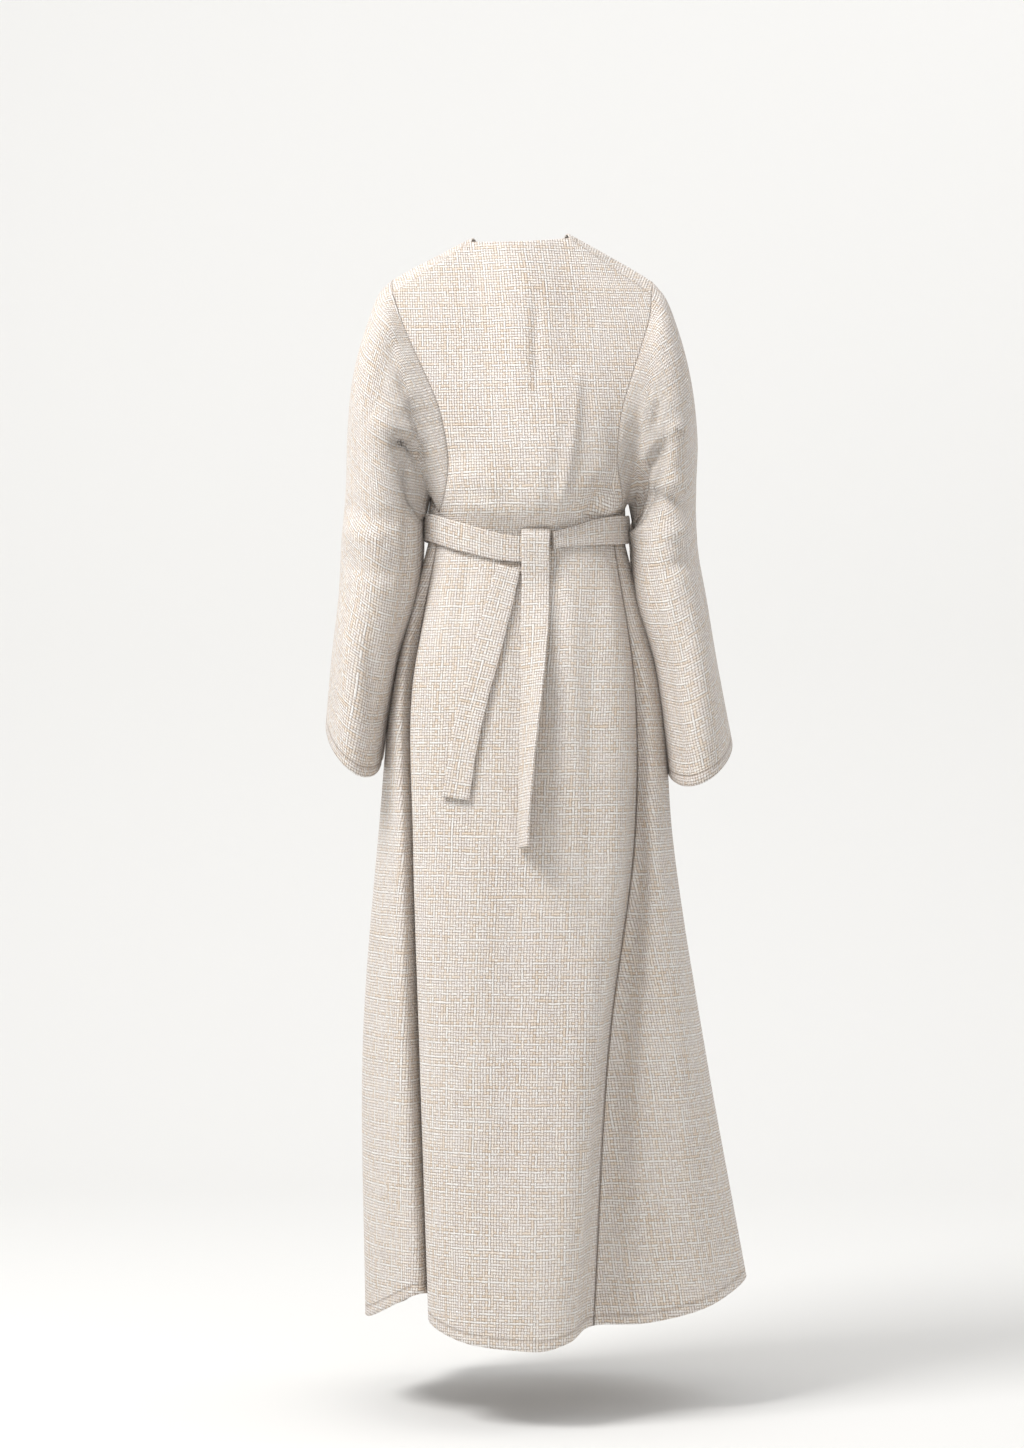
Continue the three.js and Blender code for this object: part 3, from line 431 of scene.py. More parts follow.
RIGHT_SLEEVE_CREASES = [
    # the deep fold from the elbow up under the arm, with the roll that lies over it
    ([(-190, -262), (-166, -290), (-148, -316), (-139, -347), (-131, -386)], 8, 14, -18.7),
    ([(-206, -246), (-178, -272), (-156, -300), (-146, -336)], 8, 18, 8.5),
    ([(-164, -222), (-163, -242), (-161, -262)], 5, 6, -6.8),
    ([(-150, -208), (-152, -236), (-150, -262)], 9, 9, 5.1),
    # drags from the shoulder
    ([(-172, -104), (-190, -150), (-202, -205), (-208, -250)], 20, 15, 4.8),
    ([(-150, -150), (-166, -190), (-180, -225)], 12, 12, -3.7),
    # the elbow
    ([(-219, -370), (-196, -356), (-172, -350), (-144, -346)], 9, 13, -8.5),
    ([(-220, -346), (-196, -334), (-172, -330)], 12, 12, 5.8),
    ([(-222, -402), (-196, -396), (-166, -404)], 14, 11, 5.1),
    ([(-226, -440), (-200, -436), (-170, -448)], 10, 12, -4.8),
    # the seam under the arm down to the cuff
    ([(-158, -430), (-166, -500), (-178, -580), (-190, -660), (-200, -730)], 6, 9, -5.4),
    ([(-214, -470), (-222, -540), (-232, -620), (-240, -700)], 20, 20, 4.4),
    ([(-192, -480), (-202, -560), (-212, -640)], 12, 12, -3.4),
]
# How far the cloth under the arm hangs below the sleeve's plain form and how far its inner side leans to
# the body, from the armhole over each tabled ring to the cuff.
LEFT_UNDERARM = [(0, 0), (-48, 3), (-86, 5), (-86, 8), (-42, 7), (-12, 3.5), (-2, 3.5), (0, 8), (0, 3), (0, 0)]
RIGHT_UNDERARM = [(0, 0), (-50, 3), (-92, 6), (-94, 10), (-50, 11), (-16, 8), (-2, 6.5), (0, 11), (0, 5), (0, 0)]


# Meshes.

def mesh_object(name, points, faces, uv, marks, material):
    """A smooth mesh from points in millimetres, four-sided faces, a UV in millimetres for each corner
    and marks that hold a distance for each point."""
    mesh = bpy.data.meshes.new(name)
    points = np.asarray(points, float).reshape(-1, 3)
    faces = np.asarray(faces, np.int32).reshape(-1, 4)
    mesh.vertices.add(len(points))
    mesh.vertices.foreach_set("co", (points * MM).ravel())
    mesh.loops.add(faces.size)
    mesh.loops.foreach_set("vertex_index", faces.ravel())
    mesh.polygons.add(len(faces))
    mesh.polygons.foreach_set("loop_start", np.arange(0, faces.size, 4, dtype=np.int32))
    mesh.update(calc_edges=True)
    mesh.shade_smooth()
    layer = mesh.uv_layers.new(name="cut")
    layer.data.foreach_set("uv", np.asarray(uv, float).reshape(-1, 2).ravel() / 100)
    for key, values in marks.items():
        mark = mesh.attributes.new(key, "FLOAT", "POINT")
        mark.data.foreach_set("value", np.asarray(values, float).ravel())
    mesh.materials.append(material)
    obj = bpy.data.objects.new(name, mesh)
    bpy.context.scene.collection.objects.link(obj)
    return obj


def cloth_wall(name, grid, face, uv, marks, material, closed=False):
    """A closed wall of cloth: the grid moved out and in by half the thickness, joined round its free
    edges by a rounded rim that stands out by half of it too."""
    rows, columns = grid.shape[:2]
    count = rows * columns
    outer, inner = grid + face * CLOTH / 2, grid - face * CLOTH / 2
    ids = np.arange(count).reshape(rows, columns)
    ids = np.concatenate([ids, ids[:, :1]], axis=1) if closed else ids
    quads = np.stack([ids[:-1, :-1], ids[:-1, 1:], ids[1:, 1:], ids[1:, :-1]], axis=-1)
    corner = np.stack([uv[:-1, :-1], uv[:-1, 1:], uv[1:, 1:], uv[1:, :-1]], axis=-2)
    faces = [quads.reshape(-1, 4), (quads[..., ::-1] + count).reshape(-1, 4)]
    corners = [corner.reshape(-1, 4, 2), corner[..., ::-1, :].reshape(-1, 4, 2)]
    points = [outer.reshape(-1, 3), inner.reshape(-1, 3)]
    values = {key: [value.ravel(), value.ravel()] for key, value in marks.items()}
    made = 2 * count

    def close(line, edge_uv, middle, out, flip, key_rows):
        """Joins the two layers along one edge over a middle line moved out, and gives that line."""
        nonlocal made
        n = len(middle)
        points.append(middle + out * CLOTH * 0.5)
        for key in values:
            values[key].append(key_rows[key])
        mid = made + np.arange(n)
        made += n
        if closed:
            mid = np.append(mid, mid[0])
        for one, two in ((line, mid), (mid, line + count)):
            quad = np.stack([one[:-1], one[1:], two[1:], two[:-1]], axis=-1)
            cornered = np.stack([edge_uv[:-1], edge_uv[1:], edge_uv[1:], edge_uv[:-1]], axis=-2)
            faces.append(quad[:, ::-1] if flip else quad)
            corners.append(cornered[:, ::-1] if flip else cornered)
        return mid

    row_rims = []
    for row, inside, flip in ((0, 1, True), (rows - 1, rows - 2, False)):
        out = grid[row] - grid[inside]
        out /= np.linalg.norm(out, axis=-1, keepdims=True)
        row_rims.append((row, inside, close(ids[row], uv[row], grid[row], out, flip,
                                            {key: value[row] for key, value in marks.items()})))
    if not closed:
        for column, beside, flip in ((0, 1, False), (columns - 1, columns - 2, True)):
            out = grid[:, column] - grid[:, beside]
            out /= np.linalg.norm(out, axis=-1, keepdims=True)
            rim_line = close(ids[:, column], uv[:, column], grid[:, column], out, flip,
                             {key: value[:, column] for key, value in marks.items()})
            place = np.concatenate(points)
            for row, inside, row_line in row_rims:
                corner_quad = np.array([ids[row, column], row_line[column], ids[row, column] + count, rim_line[row]])
                p = place[corner_quad]
                outward = grid[row, column] - grid[inside, beside]
                if np.dot(np.cross(p[2] - p[0], p[3] - p[1]), outward) < 0:
                    corner_quad = corner_quad[::-1]
                faces.append(corner_quad[None])
                corners.append(np.broadcast_to(uv[row, column], (1, 4, 2)))
    return mesh_object(name, np.concatenate(points), np.concatenate(faces), np.concatenate(corners),
                       {key: np.concatenate(value) for key, value in values.items()}, material)


def panel_uv(grid, band, zero_column):
    """The cut's own sizes: how far across from one column, and how far up that column the same height
    is, so that the weft lies level."""
    across = length_along(grid, 1)
    up = length_along(grid, 0)[:, zero_column]
    height = grid[:, zero_column, 2]
    rising = np.concatenate([[True], np.diff(np.maximum.accumulate(height)) > 1e-6])
    slope = (up[-1] - up[-8]) / max(height[-1] - height[-8], 1.0)
    level = np.interp(grid[..., 2], height[rising], up[rising]) - up[band]
    level += np.maximum(grid[..., 2] - height[rising][-1], 0) * min(slope, 2.0)
    level += np.minimum(grid[..., 2] - height[0], 0)
    return np.stack([across - across[:, zero_column:zero_column + 1], level], axis=-1)


# Materials.

class Wire:
    """A value in a material that can be added, multiplied and so on, each through its own node."""

    def __init__(self, tree, socket):
        self.tree, self.socket = tree, socket

    def math(self, operation, other=None, swap=False, clamp=False):
        """This value and another through one Math node, the other first where they are swapped."""
        node = self.tree.nodes.new("ShaderNodeMath")
        node.operation, node.use_clamp = operation, clamp
        for place, value in enumerate((other, self) if swap else (self, other)):
            if isinstance(value, Wire):
                self.tree.links.new(value.socket, node.inputs[place])
            elif value is not None:
                node.inputs[place].default_value = value
        return Wire(self.tree, node.outputs[0])

    def __add__(self, other): return self.math("ADD", other)
    def __radd__(self, other): return self.math("ADD", other)
    def __sub__(self, other): return self.math("SUBTRACT", other)
    def __rsub__(self, other): return self.math("SUBTRACT", other, swap=True)
    def __mul__(self, other): return self.math("MULTIPLY", other)
    def __rmul__(self, other): return self.math("MULTIPLY", other)
    def __truediv__(self, other): return self.math("DIVIDE", other)
    def floor(self): return self.math("FLOOR")
    def fract(self): return self.math("FRACT")
    def absolute(self): return self.math("ABSOLUTE")
    def cosine(self): return self.math("COSINE")
    def wrapped(self, size): return self.math("FLOORED_MODULO", size)
    def power(self, size): return self.math("POWER", size)
    def above(self, size): return self.math("GREATER_THAN", size)
    def below(self, size): return self.math("LESS_THAN", size)
    def most(self, other): return self.math("MAXIMUM", other)
    def held(self): return self.math("ADD", 0.0, clamp=True)

    def between(self, low, high, start=0.0, end=1.0):
        """A soft step from one value to another."""
        return make(self.tree, "ShaderNodeMapRange", {"interpolation_type": "SMOOTHSTEP"},
                    {"Value": self, "From Min": low, "From Max": high, "To Min": start, "To Max": end})

    def blend(self, low, high):
        """From one number or wire to another by this part."""
        return self * (high - low) + low


def make(tree, kind, settings=None, values=None, output=0):
    """Any node, by its type, its settings, and its inputs by name or place as values or wires."""
    node = tree.nodes.new(kind)
    for key, value in (settings or {}).items():
        setattr(node, key, value)
    for key, value in (values or {}).items():
        socket = node.inputs[key]
        if isinstance(value, Wire):
            tree.links.new(value.socket, socket)
        else:
            socket.default_value = value
    return Wire(tree, node.outputs[output])


def tone(red, green, blue):
    """A colour as the eye names it, 0 to 255, turned into light amounts."""
    def linear(value):
        value = value / 255
        return value / 12.92 if value <= 0.04045 else ((value + 0.055) / 1.055) ** 2.4
    return (linear(red), linear(green), linear(blue), 1.0)


def mixed(tree, part, one, two):
    """One colour turned into another by a part."""
    node = tree.nodes.new("ShaderNodeMix")
    node.data_type = "RGBA"
    for socket, value in ((node.inputs[0], part), (node.inputs[6], one), (node.inputs[7], two)):
        if isinstance(value, Wire):
            tree.links.new(value.socket, socket)
        else:
            socket.default_value = value
    return Wire(tree, node.outputs[2])


def chart(tree, place, colours):
    """A repeat of yarns: the place from nought to one picks one of the colours."""
    node = tree.nodes.new("ShaderNodeValToRGB")
    ramp = node.color_ramp
    ramp.interpolation = "CONSTANT"
    while len(ramp.elements) < len(colours):
        ramp.elements.new(0.5)
    for k, colour in enumerate(colours):
        ramp.elements[k].position = k / len(colours)
        ramp.elements[k].color = colour
    tree.links.new(place.socket, node.inputs[0])
    return Wire(tree, node.outputs[0])


WHITE_SLUB = tone(255, 252, 248)
CREAM = tone(252, 245, 237)
ECRU = tone(248, 238, 227)
LILAC = tone(243, 236, 231)
TAN = tone(238, 222, 204)
# SHADOWED is a colour of painted shade: it darkens the weave's hollows, the stitching groove and the fold into each
# seam
SHADOWED = tone(150, 122, 98)
YARN = 3.75  # from one yarn to the next, in millimetres
WANDER_WIDE, WANDER_CLOSE = 3.0, 1.8  # how far the yarns wander, over a long and a short way
STITCH_INSET, STITCH_HALF = 12.0, 1.7  # the hem's stitching, from the free edge, and half its width
SEAM_DIP = 3.2  # how far from a seam the cloth dips into it
GLINT = 1.3  # the size of a glint
BUMP_HEIGHT = 0.0015  # the weave's relief in metres
QUARTER = 1.5708  # a quarter turn

# One repeat of the warp, 16 yarns, and of the weft, 22 yarns. W is the raised white slub yarn.
WARP_REPEAT = "TWELLETWECLLLLCE"
WEFT_REPEAT = "WTECELLEWTEWLECLWTELLE"
YARN_COLOURS = {"W": WHITE_SLUB, "C": CREAM, "E": ECRU, "L": LILAC, "T": TAN}


def tweed(name, shift):
    """Boucle tweed: a plain weave of thick uneven yarns in a warp repeat of 16 and a weft repeat of 22,
    with white slub yarns that stand out, tan yarns beside them, curls of loose fibre and a few
    glints. Its repeat lies on the piece's own cut, so it follows the cloth."""
    material = bpy.data.materials.new(name)
    material.use_nodes = True
    tree = material.node_tree
    tree.nodes.clear()
    cut = make(tree, "ShaderNodeUVMap", {"uv_map": "cut"})
    split = tree.nodes.new("ShaderNodeSeparateXYZ")
    tree.links.new(cut.socket, split.inputs[0])
    u = Wire(tree, split.outputs[0]) * 100.0 + shift[0]
    v = Wire(tree, split.outputs[1]) * 100.0 + shift[1]

    def joined(x, y, z):
        """Three values as one vector."""
        return make(tree, "ShaderNodeCombineXYZ", None, {0: x, 1: y, 2: z})

    def noise(scale, detail, seed):
        """A cloud over the cut."""
        return make(tree, "ShaderNodeTexNoise", {"noise_dimensions": "3D"},
                    {"Vector": joined(u, v, seed), "Scale": scale, "Detail": detail, "Roughness": 0.6})

    def wander(wide_seed, close_seed):
        """How far a yarn strays from its straight line."""
        return (noise(0.02, 1.0, wide_seed) - 0.5) * WANDER_WIDE + (noise(0.22, 2.0, close_seed) - 0.5) * WANDER_CLOSE

    # the yarns wander a little and their thickness changes
    a, b = (u + wander(3.1, 9.7)) / YARN, (v + wander(17.3, 23.9)) / YARN
    column, line = a.floor(), b.floor()
    fx, fy = (a.fract() - 0.5) * 2.0, (b.fract() - 0.5) * 2.0

    def dice(x, y, seed):
        """A steady random amount for each crossing."""
        return make(tree, "ShaderNodeTexWhiteNoise", {"noise_dimensions": "3D"}, {"Vector": joined(x, y, seed)})

    def yarns(number, repeat):
        """The colour of a yarn by its number in the repeat, and one where it is a white slub."""
        place = ((number + 0.5) / float(len(repeat))).fract()
        slub = [(1, 1, 1, 1) if k == "W" else (0, 0, 0, 1) for k in repeat]
        return chart(tree, place, [YARN_COLOURS[k] for k in repeat]), chart(tree, place, slub) + 0.0

    warp_colour, warp_white = yarns(column, WARP_REPEAT)
    weft_colour, weft_white = yarns(line, WEFT_REPEAT)

    # which yarn lies on top: every other crossing, but the white slubs float over more often
    turn = (column + line).wrapped(2.0).above(0.5)
    chance = dice(column, line, 1.5)
    warp_top = (turn + warp_white * chance.above(0.66) - weft_white * chance.above(0.5)).above(0.5)
    flip = dice(column, line, 4.5).above(0.9)
    warp_top = (warp_top - flip).absolute()

    # heights: a rounded yarn across, sinking where it goes under
    warp_round = (1.0 - fx * fx).most(0.0).power(0.85) * (0.72 + 0.28 * (fy * QUARTER).cosine())
    weft_round = (1.0 - fy * fy).most(0.0).power(0.85) * (0.72 + 0.28 * (fx * QUARTER).cosine())
    warp_low, weft_low = warp_round * 0.45, weft_round * 0.45
    height = warp_top.blend(weft_round.most(warp_low), warp_round.most(weft_low))
    thick = dice(column, line, 7.5) * 0.3 + 0.8
    raised = warp_top.blend(weft_white, warp_white)
    curls = noise(0.75, 3.0, 41.0)
    fuzz = noise(2.2, 3.0, 57.0)
    relief = height * thick * (raised * 0.35 + 1.0) + (curls - 0.5) * 0.6 + (fuzz - 0.5) * 0.3

    # stitching beside a free edge and the fold into a sewn seam, as relief here and as painted shade in the colour
    # below
    free = make(tree, "ShaderNodeAttribute", {"attribute_name": "free"}, None, 2)
    sewn = make(tree, "ShaderNodeAttribute", {"attribute_name": "sewn"}, None, 2)
    stitch = (free - STITCH_INSET) / STITCH_HALF
    stitch = (1.0 - stitch * stitch / 2.0).most(0.0)
    dip = (1.0 - sewn / SEAM_DIP).held()
    relief = relief - stitch * 0.9 - dip * dip * 2.2

    # colours
    top_colour = mixed(tree, warp_top, weft_colour, warp_colour)
    speck = dice(column, line, 11.5)
    top_colour = mixed(tree, speck.above(0.8) * 0.7, top_colour, WHITE_SLUB)
    top_colour = mixed(tree, speck.below(0.08) * 0.5, top_colour, TAN)
    # painted shade: where the yarns sink, the hollows between them are darkened towards SHADOWED
    shade = (1.0 - height * thick).held()
    top_colour = mixed(tree, (shade * 1.5 - 0.34).held() * 0.9, top_colour, SHADOWED)
    cloudy = noise(0.012, 2.0, 71.0)
    top_colour = mixed(tree, cloudy.between(0.35, 0.7) * 0.22, top_colour, LILAC)
    loops = curls.between(0.52, 0.72)
    colour = mixed(tree, loops * 0.4, top_colour, WHITE_SLUB)
    # painted shade along the stitching groove and in the fold into each sewn seam
    colour = mixed(tree, (stitch * 0.28 + dip * 0.5).held(), colour, SHADOWED)

    glint = dice((u / GLINT).floor(), (v / GLINT).floor(), 19.5).above(0.992)
    bump = make(tree, "ShaderNodeBump", None, {"Height": relief, "Strength": 1.0, "Distance": BUMP_HEIGHT})
    shader = make(tree, "ShaderNodeBsdfPrincipled", None, {
        "Base Color": colour, "Roughness": 0.92 - glint * 0.62, "Metallic": glint * 0.5, "Normal": bump,
        "Sheen Weight": 0.25, "Sheen Roughness": 0.5, "Specular IOR Level": 0.25, "Coat Weight": glint * 0.6})
    end = tree.nodes.new("ShaderNodeOutputMaterial")
    tree.links.new(shader.socket, end.inputs[0])
    return material


def plain(name, colour, roughness):
    """A plain matt surface."""
    material = bpy.data.materials.new(name)
    material.use_nodes = True
    shader = material.node_tree.nodes["Principled BSDF"]
    shader.inputs["Base Color"].default_value = colour
    shader.inputs["Roughness"].default_value = roughness
    shader.inputs["Specular IOR Level"].default_value = 0.2
    return material


# The belt.

def back_height(grid, x, z):
    """The height in y of the back panel over a place in x and z, from the nearest grid points."""
    flat = grid.reshape(-1, 3)
    distance = (flat[:, 0] - x) ** 2 + (flat[:, 2] - z) ** 2
    near = np.argsort(distance)[:6]
    weight = 1 / (distance[near] + 1.0)
    return float((flat[near, 1] * weight).sum() / weight.sum())


def tail_path(grid, start, rows, steps):
    """The tail's centres, widths and twists: its own first points, then rows that lie on the back panel,
    lifted clear of it and leaning with it."""
    centres, widths, twists = list(start), [WRAP_WIDTH] * len(start), [0.0] * len(start)
    for x, z, width, twist in rows:
        half = width / 2
        tipped = abs(math.sin(math.radians(twist))) * half
        rise = back_height(grid, x + half, z) - back_height(grid, x - half, z)
        slope = math.atan2(rise, width)
        lift = (CLOTH / 2 + BELT_THICKNESS / 2 + TAIL_CLEARANCE) / math.cos(slope) + tipped
        centres.append((x, back_height(grid, x, z) + lift, z))
        widths.append(width)
        twists.append(twist - math.degrees(slope))
    counts = [steps] * (len(centres) - 1)
    place = np.concatenate([np.arange(steps) / steps + k for k in range(len(counts))] + [[len(counts)]])
    known = np.arange(len(centres))
    return smooth(centres, counts), np.interp(place, known, widths), np.interp(place, known, twists)


def strip_frames(centres, twists):
    """The across and outward directions along a hanging strip, turned about its length by the twist."""
    along = np.gradient(centres, axis=0)
    along /= np.linalg.norm(along, axis=1, keepdims=True)
    out = np.cross(np.array([1.0, 0, 0]), along)
    out /= np.linalg.norm(out, axis=1, keepdims=True)
    angle = np.radians(twists)[:, None]
    out = out * np.cos(angle) + np.cross(along, out) * np.sin(angle)
    side = np.cross(along, out)
    return side / np.linalg.norm(side, axis=1, keepdims=True), out


def ribbon(name, centres, side, out, width, thickness, material, shape=None, shift=0.0, points_round=48):
    """A doubled strip: a flat loop with rounded folds swept along the centres. The loop is a squarish
    oval, and shape may move its face in or out by the place across and along."""
    turn = np.linspace(0, 2 * np.pi, points_round, endpoint=False)
    across = np.sign(np.cos(turn)) * np.abs(np.cos(turn)) ** 0.5
    depth = np.sign(np.sin(turn)) * np.abs(np.sin(turn)) ** 0.55
    length = np.concatenate([[0], np.cumsum(np.linalg.norm(np.diff(centres, axis=0), axis=1))])
    s = np.broadcast_to(across[None], (len(centres), points_round))
    moved = np.zeros_like(s) if shape is None else shape(s, length[:, None] + 0 * s)
    wave = 0.5 * np.sin(length / 17.0 + 1.3) + 0.35 * np.sin(length / 7.3 + 0.4)
    half = (np.asarray(width) / 2 + wave * 0.5)[:, None]
    rings = (centres[:, None] + side[:, None] * (s * half)[..., None]
             + out[:, None] * (depth[None] * thickness / 2 + moved)[..., None])
    loop = np.concatenate([across, across[:1]])
    lift = np.concatenate([depth, depth[:1]])
    run = np.concatenate([[0], np.cumsum(np.hypot(np.diff(loop) * half.mean(), np.diff(lift) * thickness / 2))])
    u = np.broadcast_to(run[None] + shift, (len(centres), points_round + 1))
    v = np.broadcast_to(length[:, None], u.shape)
    uv = np.stack([u, v], axis=-1)
    rows = len(centres)
    ids = np.arange(rows * points_round).reshape(rows, points_round)
    ids = np.concatenate([ids, ids[:, :1]], axis=1)
    faces = np.stack([ids[:-1, :-1], ids[:-1, 1:], ids[1:, 1:], ids[1:, :-1]], axis=-1).reshape(-1, 4)
    corners = np.stack([uv[:-1, :-1], uv[:-1, 1:], uv[1:, 1:], uv[1:, :-1]], axis=-2).reshape(-1, 4, 2)
    k = np.arange(1, points_round // 2 - 1)
    cap = np.stack([k, k + 1, points_round - k - 1, points_round - k], axis=-1)
    first, last = ids[0][cap], ids[-1][cap]
    cap_uv = uv[0][cap]
    faces = np.concatenate([faces, first[:, ::-1], last])
    corners = np.concatenate([corners, cap_uv[:, ::-1], uv[-1][cap]])
    points = rings.reshape(-1, 3)
    a, b, c = points[faces[:, 0]], points[faces[:, 1]], points[faces[:, 2]]
    if np.einsum("ij,ij->", a, np.cross(b, c)) + np.einsum("ij,ij->", a, np.cross(c, points[faces[:, 3]])) < 0:
        faces, corners = faces[:, ::-1], corners[:, ::-1]
    far = np.full(len(points), FAR)
    return mesh_object(name, points, faces, corners, {"free": far, "sewn": far}, material)


def run_path(steps=420):
    """The belt's path round the waist from the knot's right side round the front to its left side."""
    angle = KNOT_RIGHT + (KNOT_LEFT - 360 - KNOT_RIGHT) * np.arange(steps + 1) / steps
    angle = np.where(angle < -180, angle + 360, angle)
    out = CLOTH / 2 + BELT_CLEARANCE + BELT_THICKNESS / 2
    z, width = belt_line(angle)
    centre = waist_point(angle, out, z)
    centre[:, 1] *= np.where(centre[:, 1] < 0, 1 + WRAP_OVER / WAIST_FRONT, 1.0)
    ahead, behind = waist_point(angle - 1, out, z), waist_point(angle + 1, out, z)
    face = np.cross(ahead - behind, np.array([0, 0, 1.0]))
    face /= np.linalg.norm(face, axis=1, keepdims=True)
    return centre, face, width


# The pieces.

body_tweed = tweed("body tweed", (0.0, 0.0))
sleeve_tweed = tweed("sleeve tweed", (13.0, 31.0))
belt_tweed = tweed("belt tweed", (7.0, 11.0))

left, back, right, band = body_panels()
left_face, back_face, right_face = facing(left), facing(back), facing(right)
arm_rows = slice(band, None)
left_loop = np.concatenate([back[arm_rows, 0], left[arm_rows, -1][1:-1][::-1]])
right_loop = np.concatenate([right[arm_rows, 0], back[arm_rows, -1][1:-1][::-1]])
left_sleeve = hung(sleeve_grid(left_loop, LEFT_SLEEVE), left_loop, LEFT_UNDERARM)
right_sleeve = hung(sleeve_grid(right_loop, RIGHT_SLEEVE), right_loop, RIGHT_UNDERARM)


def share(*places):
    """Gives edges that meet in a seam the mean of their facings."""
    mean = sum(face[index] for face, index in places)
    mean /= np.linalg.norm(mean, axis=-1, keepdims=True)
    for face, index in places:
        face[index] = mean


sleeve_faces = [facing(left_sleeve, True), facing(right_sleeve, True)]
share((back_face, (slice(0, band), 0)), (left_face, (slice(0, band), -1)))
share((back_face, (slice(0, band), -1)), (right_face, (slice(0, band), 0)))


def free_and_sewn(grid, sewn_columns, sewn_from, front_edge=None):
    """Marks for a body panel: the distance from its hem and front edge, and from its sewn edges."""
    across, up = length_along(grid, 1), length_along(grid, 0)
    free = up
    if front_edge is not None:
        free = np.minimum(free, np.abs(across - across[:, front_edge][:, None]))
    sewn = np.full(up.shape, FAR)
    above = step(np.arange(len(grid)), band - 6, band)[:, None] * SEAM_SOFTNESS
    for column in sewn_columns:
        sewn = np.minimum(sewn, np.abs(across - across[:, column][:, None]) + above)
    sewn = np.minimum(sewn, np.where(sewn_from, up[-1:] - up, FAR) + 1.6 * SEAM_SOFTNESS)
    return {"free": np.minimum(free, FAR), "sewn": np.minimum(sewn, FAR)}


neck_left, neck_right = BACK_NECK[0][0], BACK_NECK[-1][0]
back_marks = free_and_sewn(back, (0, -1), (back[-1, :, 0] > neck_left) | (back[-1, :, 0] < neck_right))
left_marks = free_and_sewn(left, (-1,), np.ones(left.shape[1], bool), front_edge=0)
right_marks = free_and_sewn(right, (0,), np.ones(right.shape[1], bool), front_edge=-1)

back_uv = panel_uv(back, band, back.shape[1] // 2)
left_uv = panel_uv(left, band, left.shape[1] // 2)
right_uv = panel_uv(right, band, right.shape[1] // 2)

back_shaped = dressed(back, back_face, BACK_CREASES, 1)
left_shaped = dressed(dressed(left, left_face, FRONT_CREASES, -1), left_face, LEFT_CREASES, 1)
right_shaped = dressed(dressed(right, right_face, FRONT_CREASES, -1), right_face, RIGHT_CREASES, 1)

made = {
    "back": cloth_wall("back_cloth", back_shaped, back_face, back_uv, back_marks, body_tweed),
    "front_left": cloth_wall("left_front_cloth", left_shaped, left_face, left_uv, left_marks, body_tweed),
    "front_right": cloth_wall("right_front_cloth", right_shaped, right_face, right_uv, right_marks, body_tweed),
}
for name, grid, face, creases in (("sleeve_left", left_sleeve, sleeve_faces[0], LEFT_SLEEVE_CREASES),
                                  ("sleeve_right", right_sleeve, sleeve_faces[1], RIGHT_SLEEVE_CREASES)):
    ring = np.concatenate([grid, grid[:, :1]], axis=1)
    across, up = length_along(ring, 1), length_along(ring, 0)
    outer = grid.shape[1] // 2
    uv = np.stack([across - across[:, outer:outer + 1], up - up[-1:]], axis=-1)
    total = across[:, -1:]
    from_seam = np.minimum(np.minimum(across, total - across), np.minimum(up, FAR))
    marks = {"free": np.minimum(up[-1:] - up, FAR)[:, :-1], "sewn": from_seam[:, :-1] + SEAM_SOFTNESS}
    shaped = dressed(grid, face, creases, 1, False)
    made[name] = cloth_wall(name + "_cloth", shaped, face, uv, marks, sleeve_tweed, closed=True)


def run_shape(s, along):
    """The right end is pinched into the knot: a pleat runs out of it, and soft creases cross the strip."""
    pleat = -2.4 * np.exp(-((s - 0.3 + along * 0.002) / 0.16) ** 2) * step(50 - along, 0, 40)
    soft = 0.7 * np.sin(along / 21.0 + 2.0 * s) * np.sin(along / 57.0)
    return pleat + soft


centre, face, width = run_path()
up = np.broadcast_to(np.array([0, 0, 1.0]), centre.shape)
made["belt_run"] = ribbon("belt_round_waist", centre, up, face, width, BELT_THICKNESS, belt_tweed, run_shape)

knot_out = CLOTH / 2 + BELT_CLEARANCE + BELT_THICKNESS / 2
knot_line = np.array([(KNOT_X, WAIST_BACK + knot_out, KNOT_Z + 14 - 28 * k / 12) for k in range(13)])
knot_side, knot_face = strip_frames(knot_line, np.zeros(13))
made["belt_knot"] = ribbon("belt_in_knot", knot_line, knot_side, knot_face, np.full(13, 15.0),
                           BELT_THICKNESS, belt_tweed)

face_y = WAIST_BACK + CLOTH / 2 + BELT_CLEARANCE + BELT_THICKNESS
over = BELT_THICKNESS / 2 + WRAP_GAP
wrap_start = [(KNOT_X, face_y - BELT_THICKNESS / 2, WRAP_TOP + over),
              (KNOT_X, face_y + over + 1, WRAP_TOP - BELT_THICKNESS), (KNOT_X, face_y + over + 1, WRAP_BOTTOM)]
for node, start, rows, words in (("belt_tail_centre", wrap_start, CENTRE_TAIL, "belt_wrap_and_centre_tail"),
                                 ("belt_tail_left", [], LEFT_TAIL, "belt_left_tail_strip")):
    centre, width, twist = tail_path(back_shaped, start, rows, 26)
    side, face = strip_frames(centre, twist)
    made[node] = ribbon(words, centre, side, face, width, BELT_THICKNESS, belt_tweed, shift=3.0)

# Each piece hangs from the root body, and its part from model.glb is hidden.
for node, obj in made.items():
    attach(obj, "root")
    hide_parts(node)


# The studio.

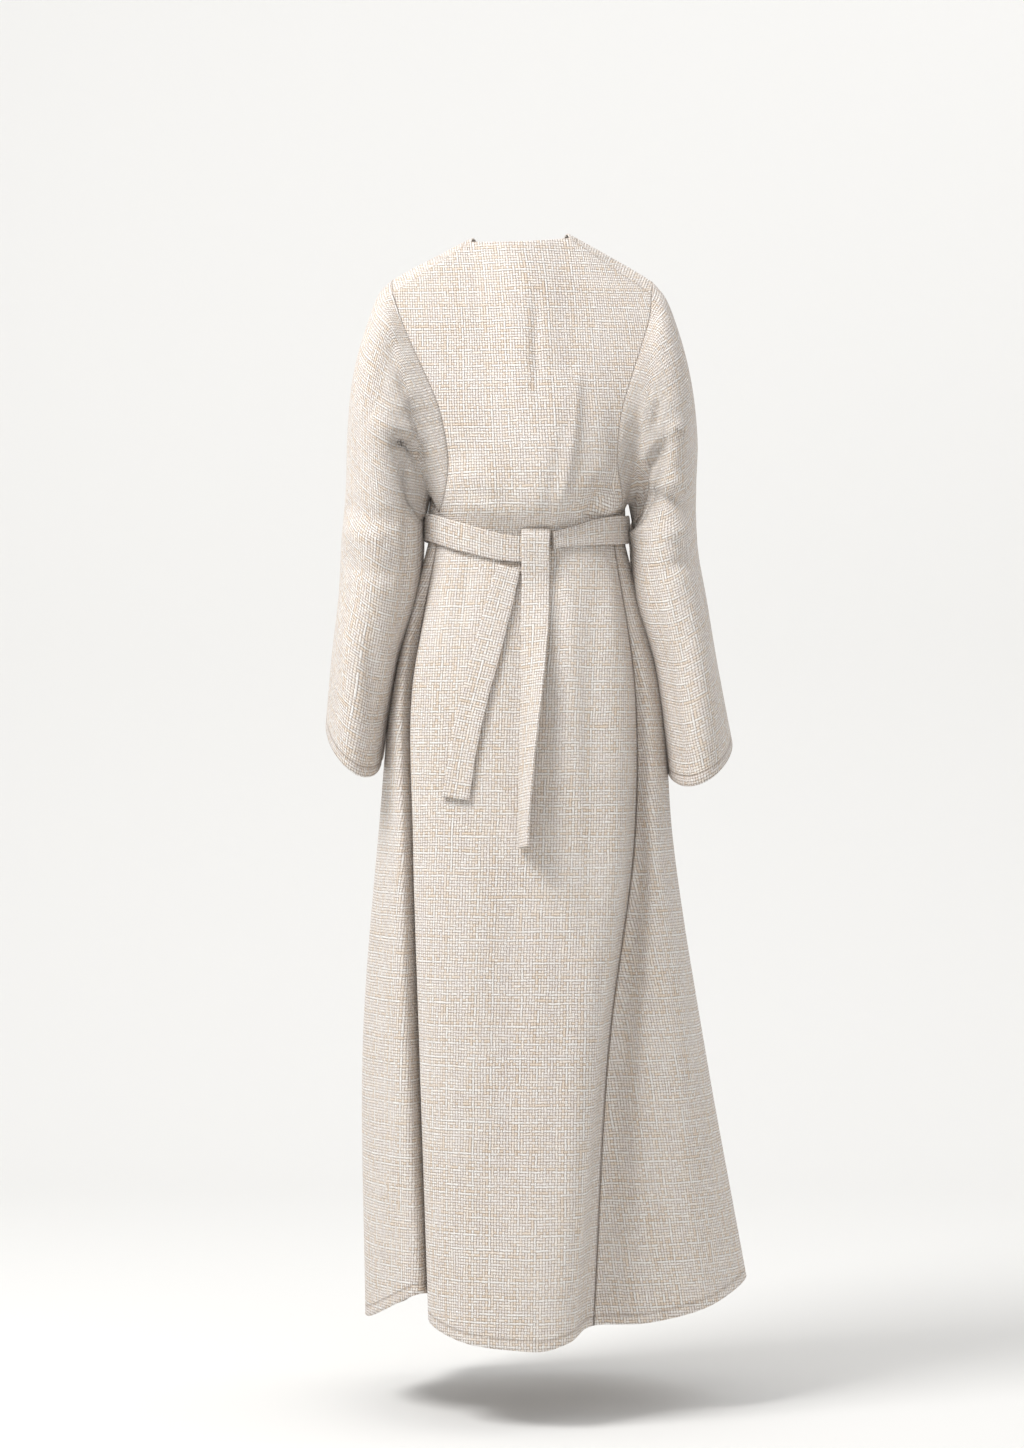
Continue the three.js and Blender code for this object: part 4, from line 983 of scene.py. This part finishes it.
def sweep(name, material):
    """A pale floor that runs back and bends up into the wall behind, a quarter circle between them."""
    floor_z, wall_y, radius, half, near = -1565.0, -3200.0, 1100.0, 7000.0, 8000.0
    bend = np.linspace(0, np.pi / 2, 24)
    y = np.concatenate([[near], wall_y + radius - radius * np.sin(bend), [wall_y]])
    z = np.concatenate([[floor_z], floor_z + radius - radius * np.cos(bend), [5200.0]])
    points = np.array([(x, b, c) for b, c in zip(y, z) for x in (half, -half)])
    k = np.arange(len(y) - 1) * 2
    faces = np.stack([k, k + 1, k + 3, k + 2], axis=-1)
    uv = np.zeros((len(faces), 4, 2))
    return mesh_object(name, points, faces, uv, {}, material)


sweep("studio_sweep", plain("pale studio paper", tone(239, 239, 238), 0.9))


def soft_light(name, place, target, size, power, colour):
    """A large soft area light at a place in metres, turned to a target."""
    data = bpy.data.lights.new(name, "AREA")
    data.shape, data.size, data.size_y = "RECTANGLE", size[0], size[1]
    data.energy, data.color = power, colour
    obj = bpy.data.objects.new(name, data)
    obj.location = place
    direction = Vector(target) - Vector(place)
    obj.rotation_euler = direction.to_track_quat("-Z", "Y").to_euler()
    bpy.context.scene.collection.objects.link(obj)


soft_light("key light", (1.85, 1.35, 2.0), (0.1, 0, -0.4), (1.3, 1.5), 101, (1.0, 0.99, 0.975))
soft_light("wall light", (-2.4, -0.8, 2.4), (-1.5, -3.2, -0.1), (3.4, 2.6), 31, (1.0, 0.995, 0.99))

world = bpy.data.worlds.new("studio air")
world.use_nodes = True
world.node_tree.nodes["Background"].inputs["Color"].default_value = tone(252, 251, 250)
world.node_tree.nodes["Background"].inputs["Strength"].default_value = 0.66
bpy.context.scene.world = world
bpy.context.scene.view_settings.view_transform = "Standard"

camera_data = bpy.data.cameras.new("camera")
camera_data.lens, camera_data.sensor_width = 84.7, 36.0
camera_data.clip_start, camera_data.clip_end = 0.1, 60.0
camera = bpy.data.objects.new("camera", camera_data)
camera.location = (0.027, 4.6, -0.65)
camera.rotation_euler = (math.pi / 2, 0, math.pi)
bpy.context.scene.collection.objects.link(camera)
bpy.context.scene.camera = camera
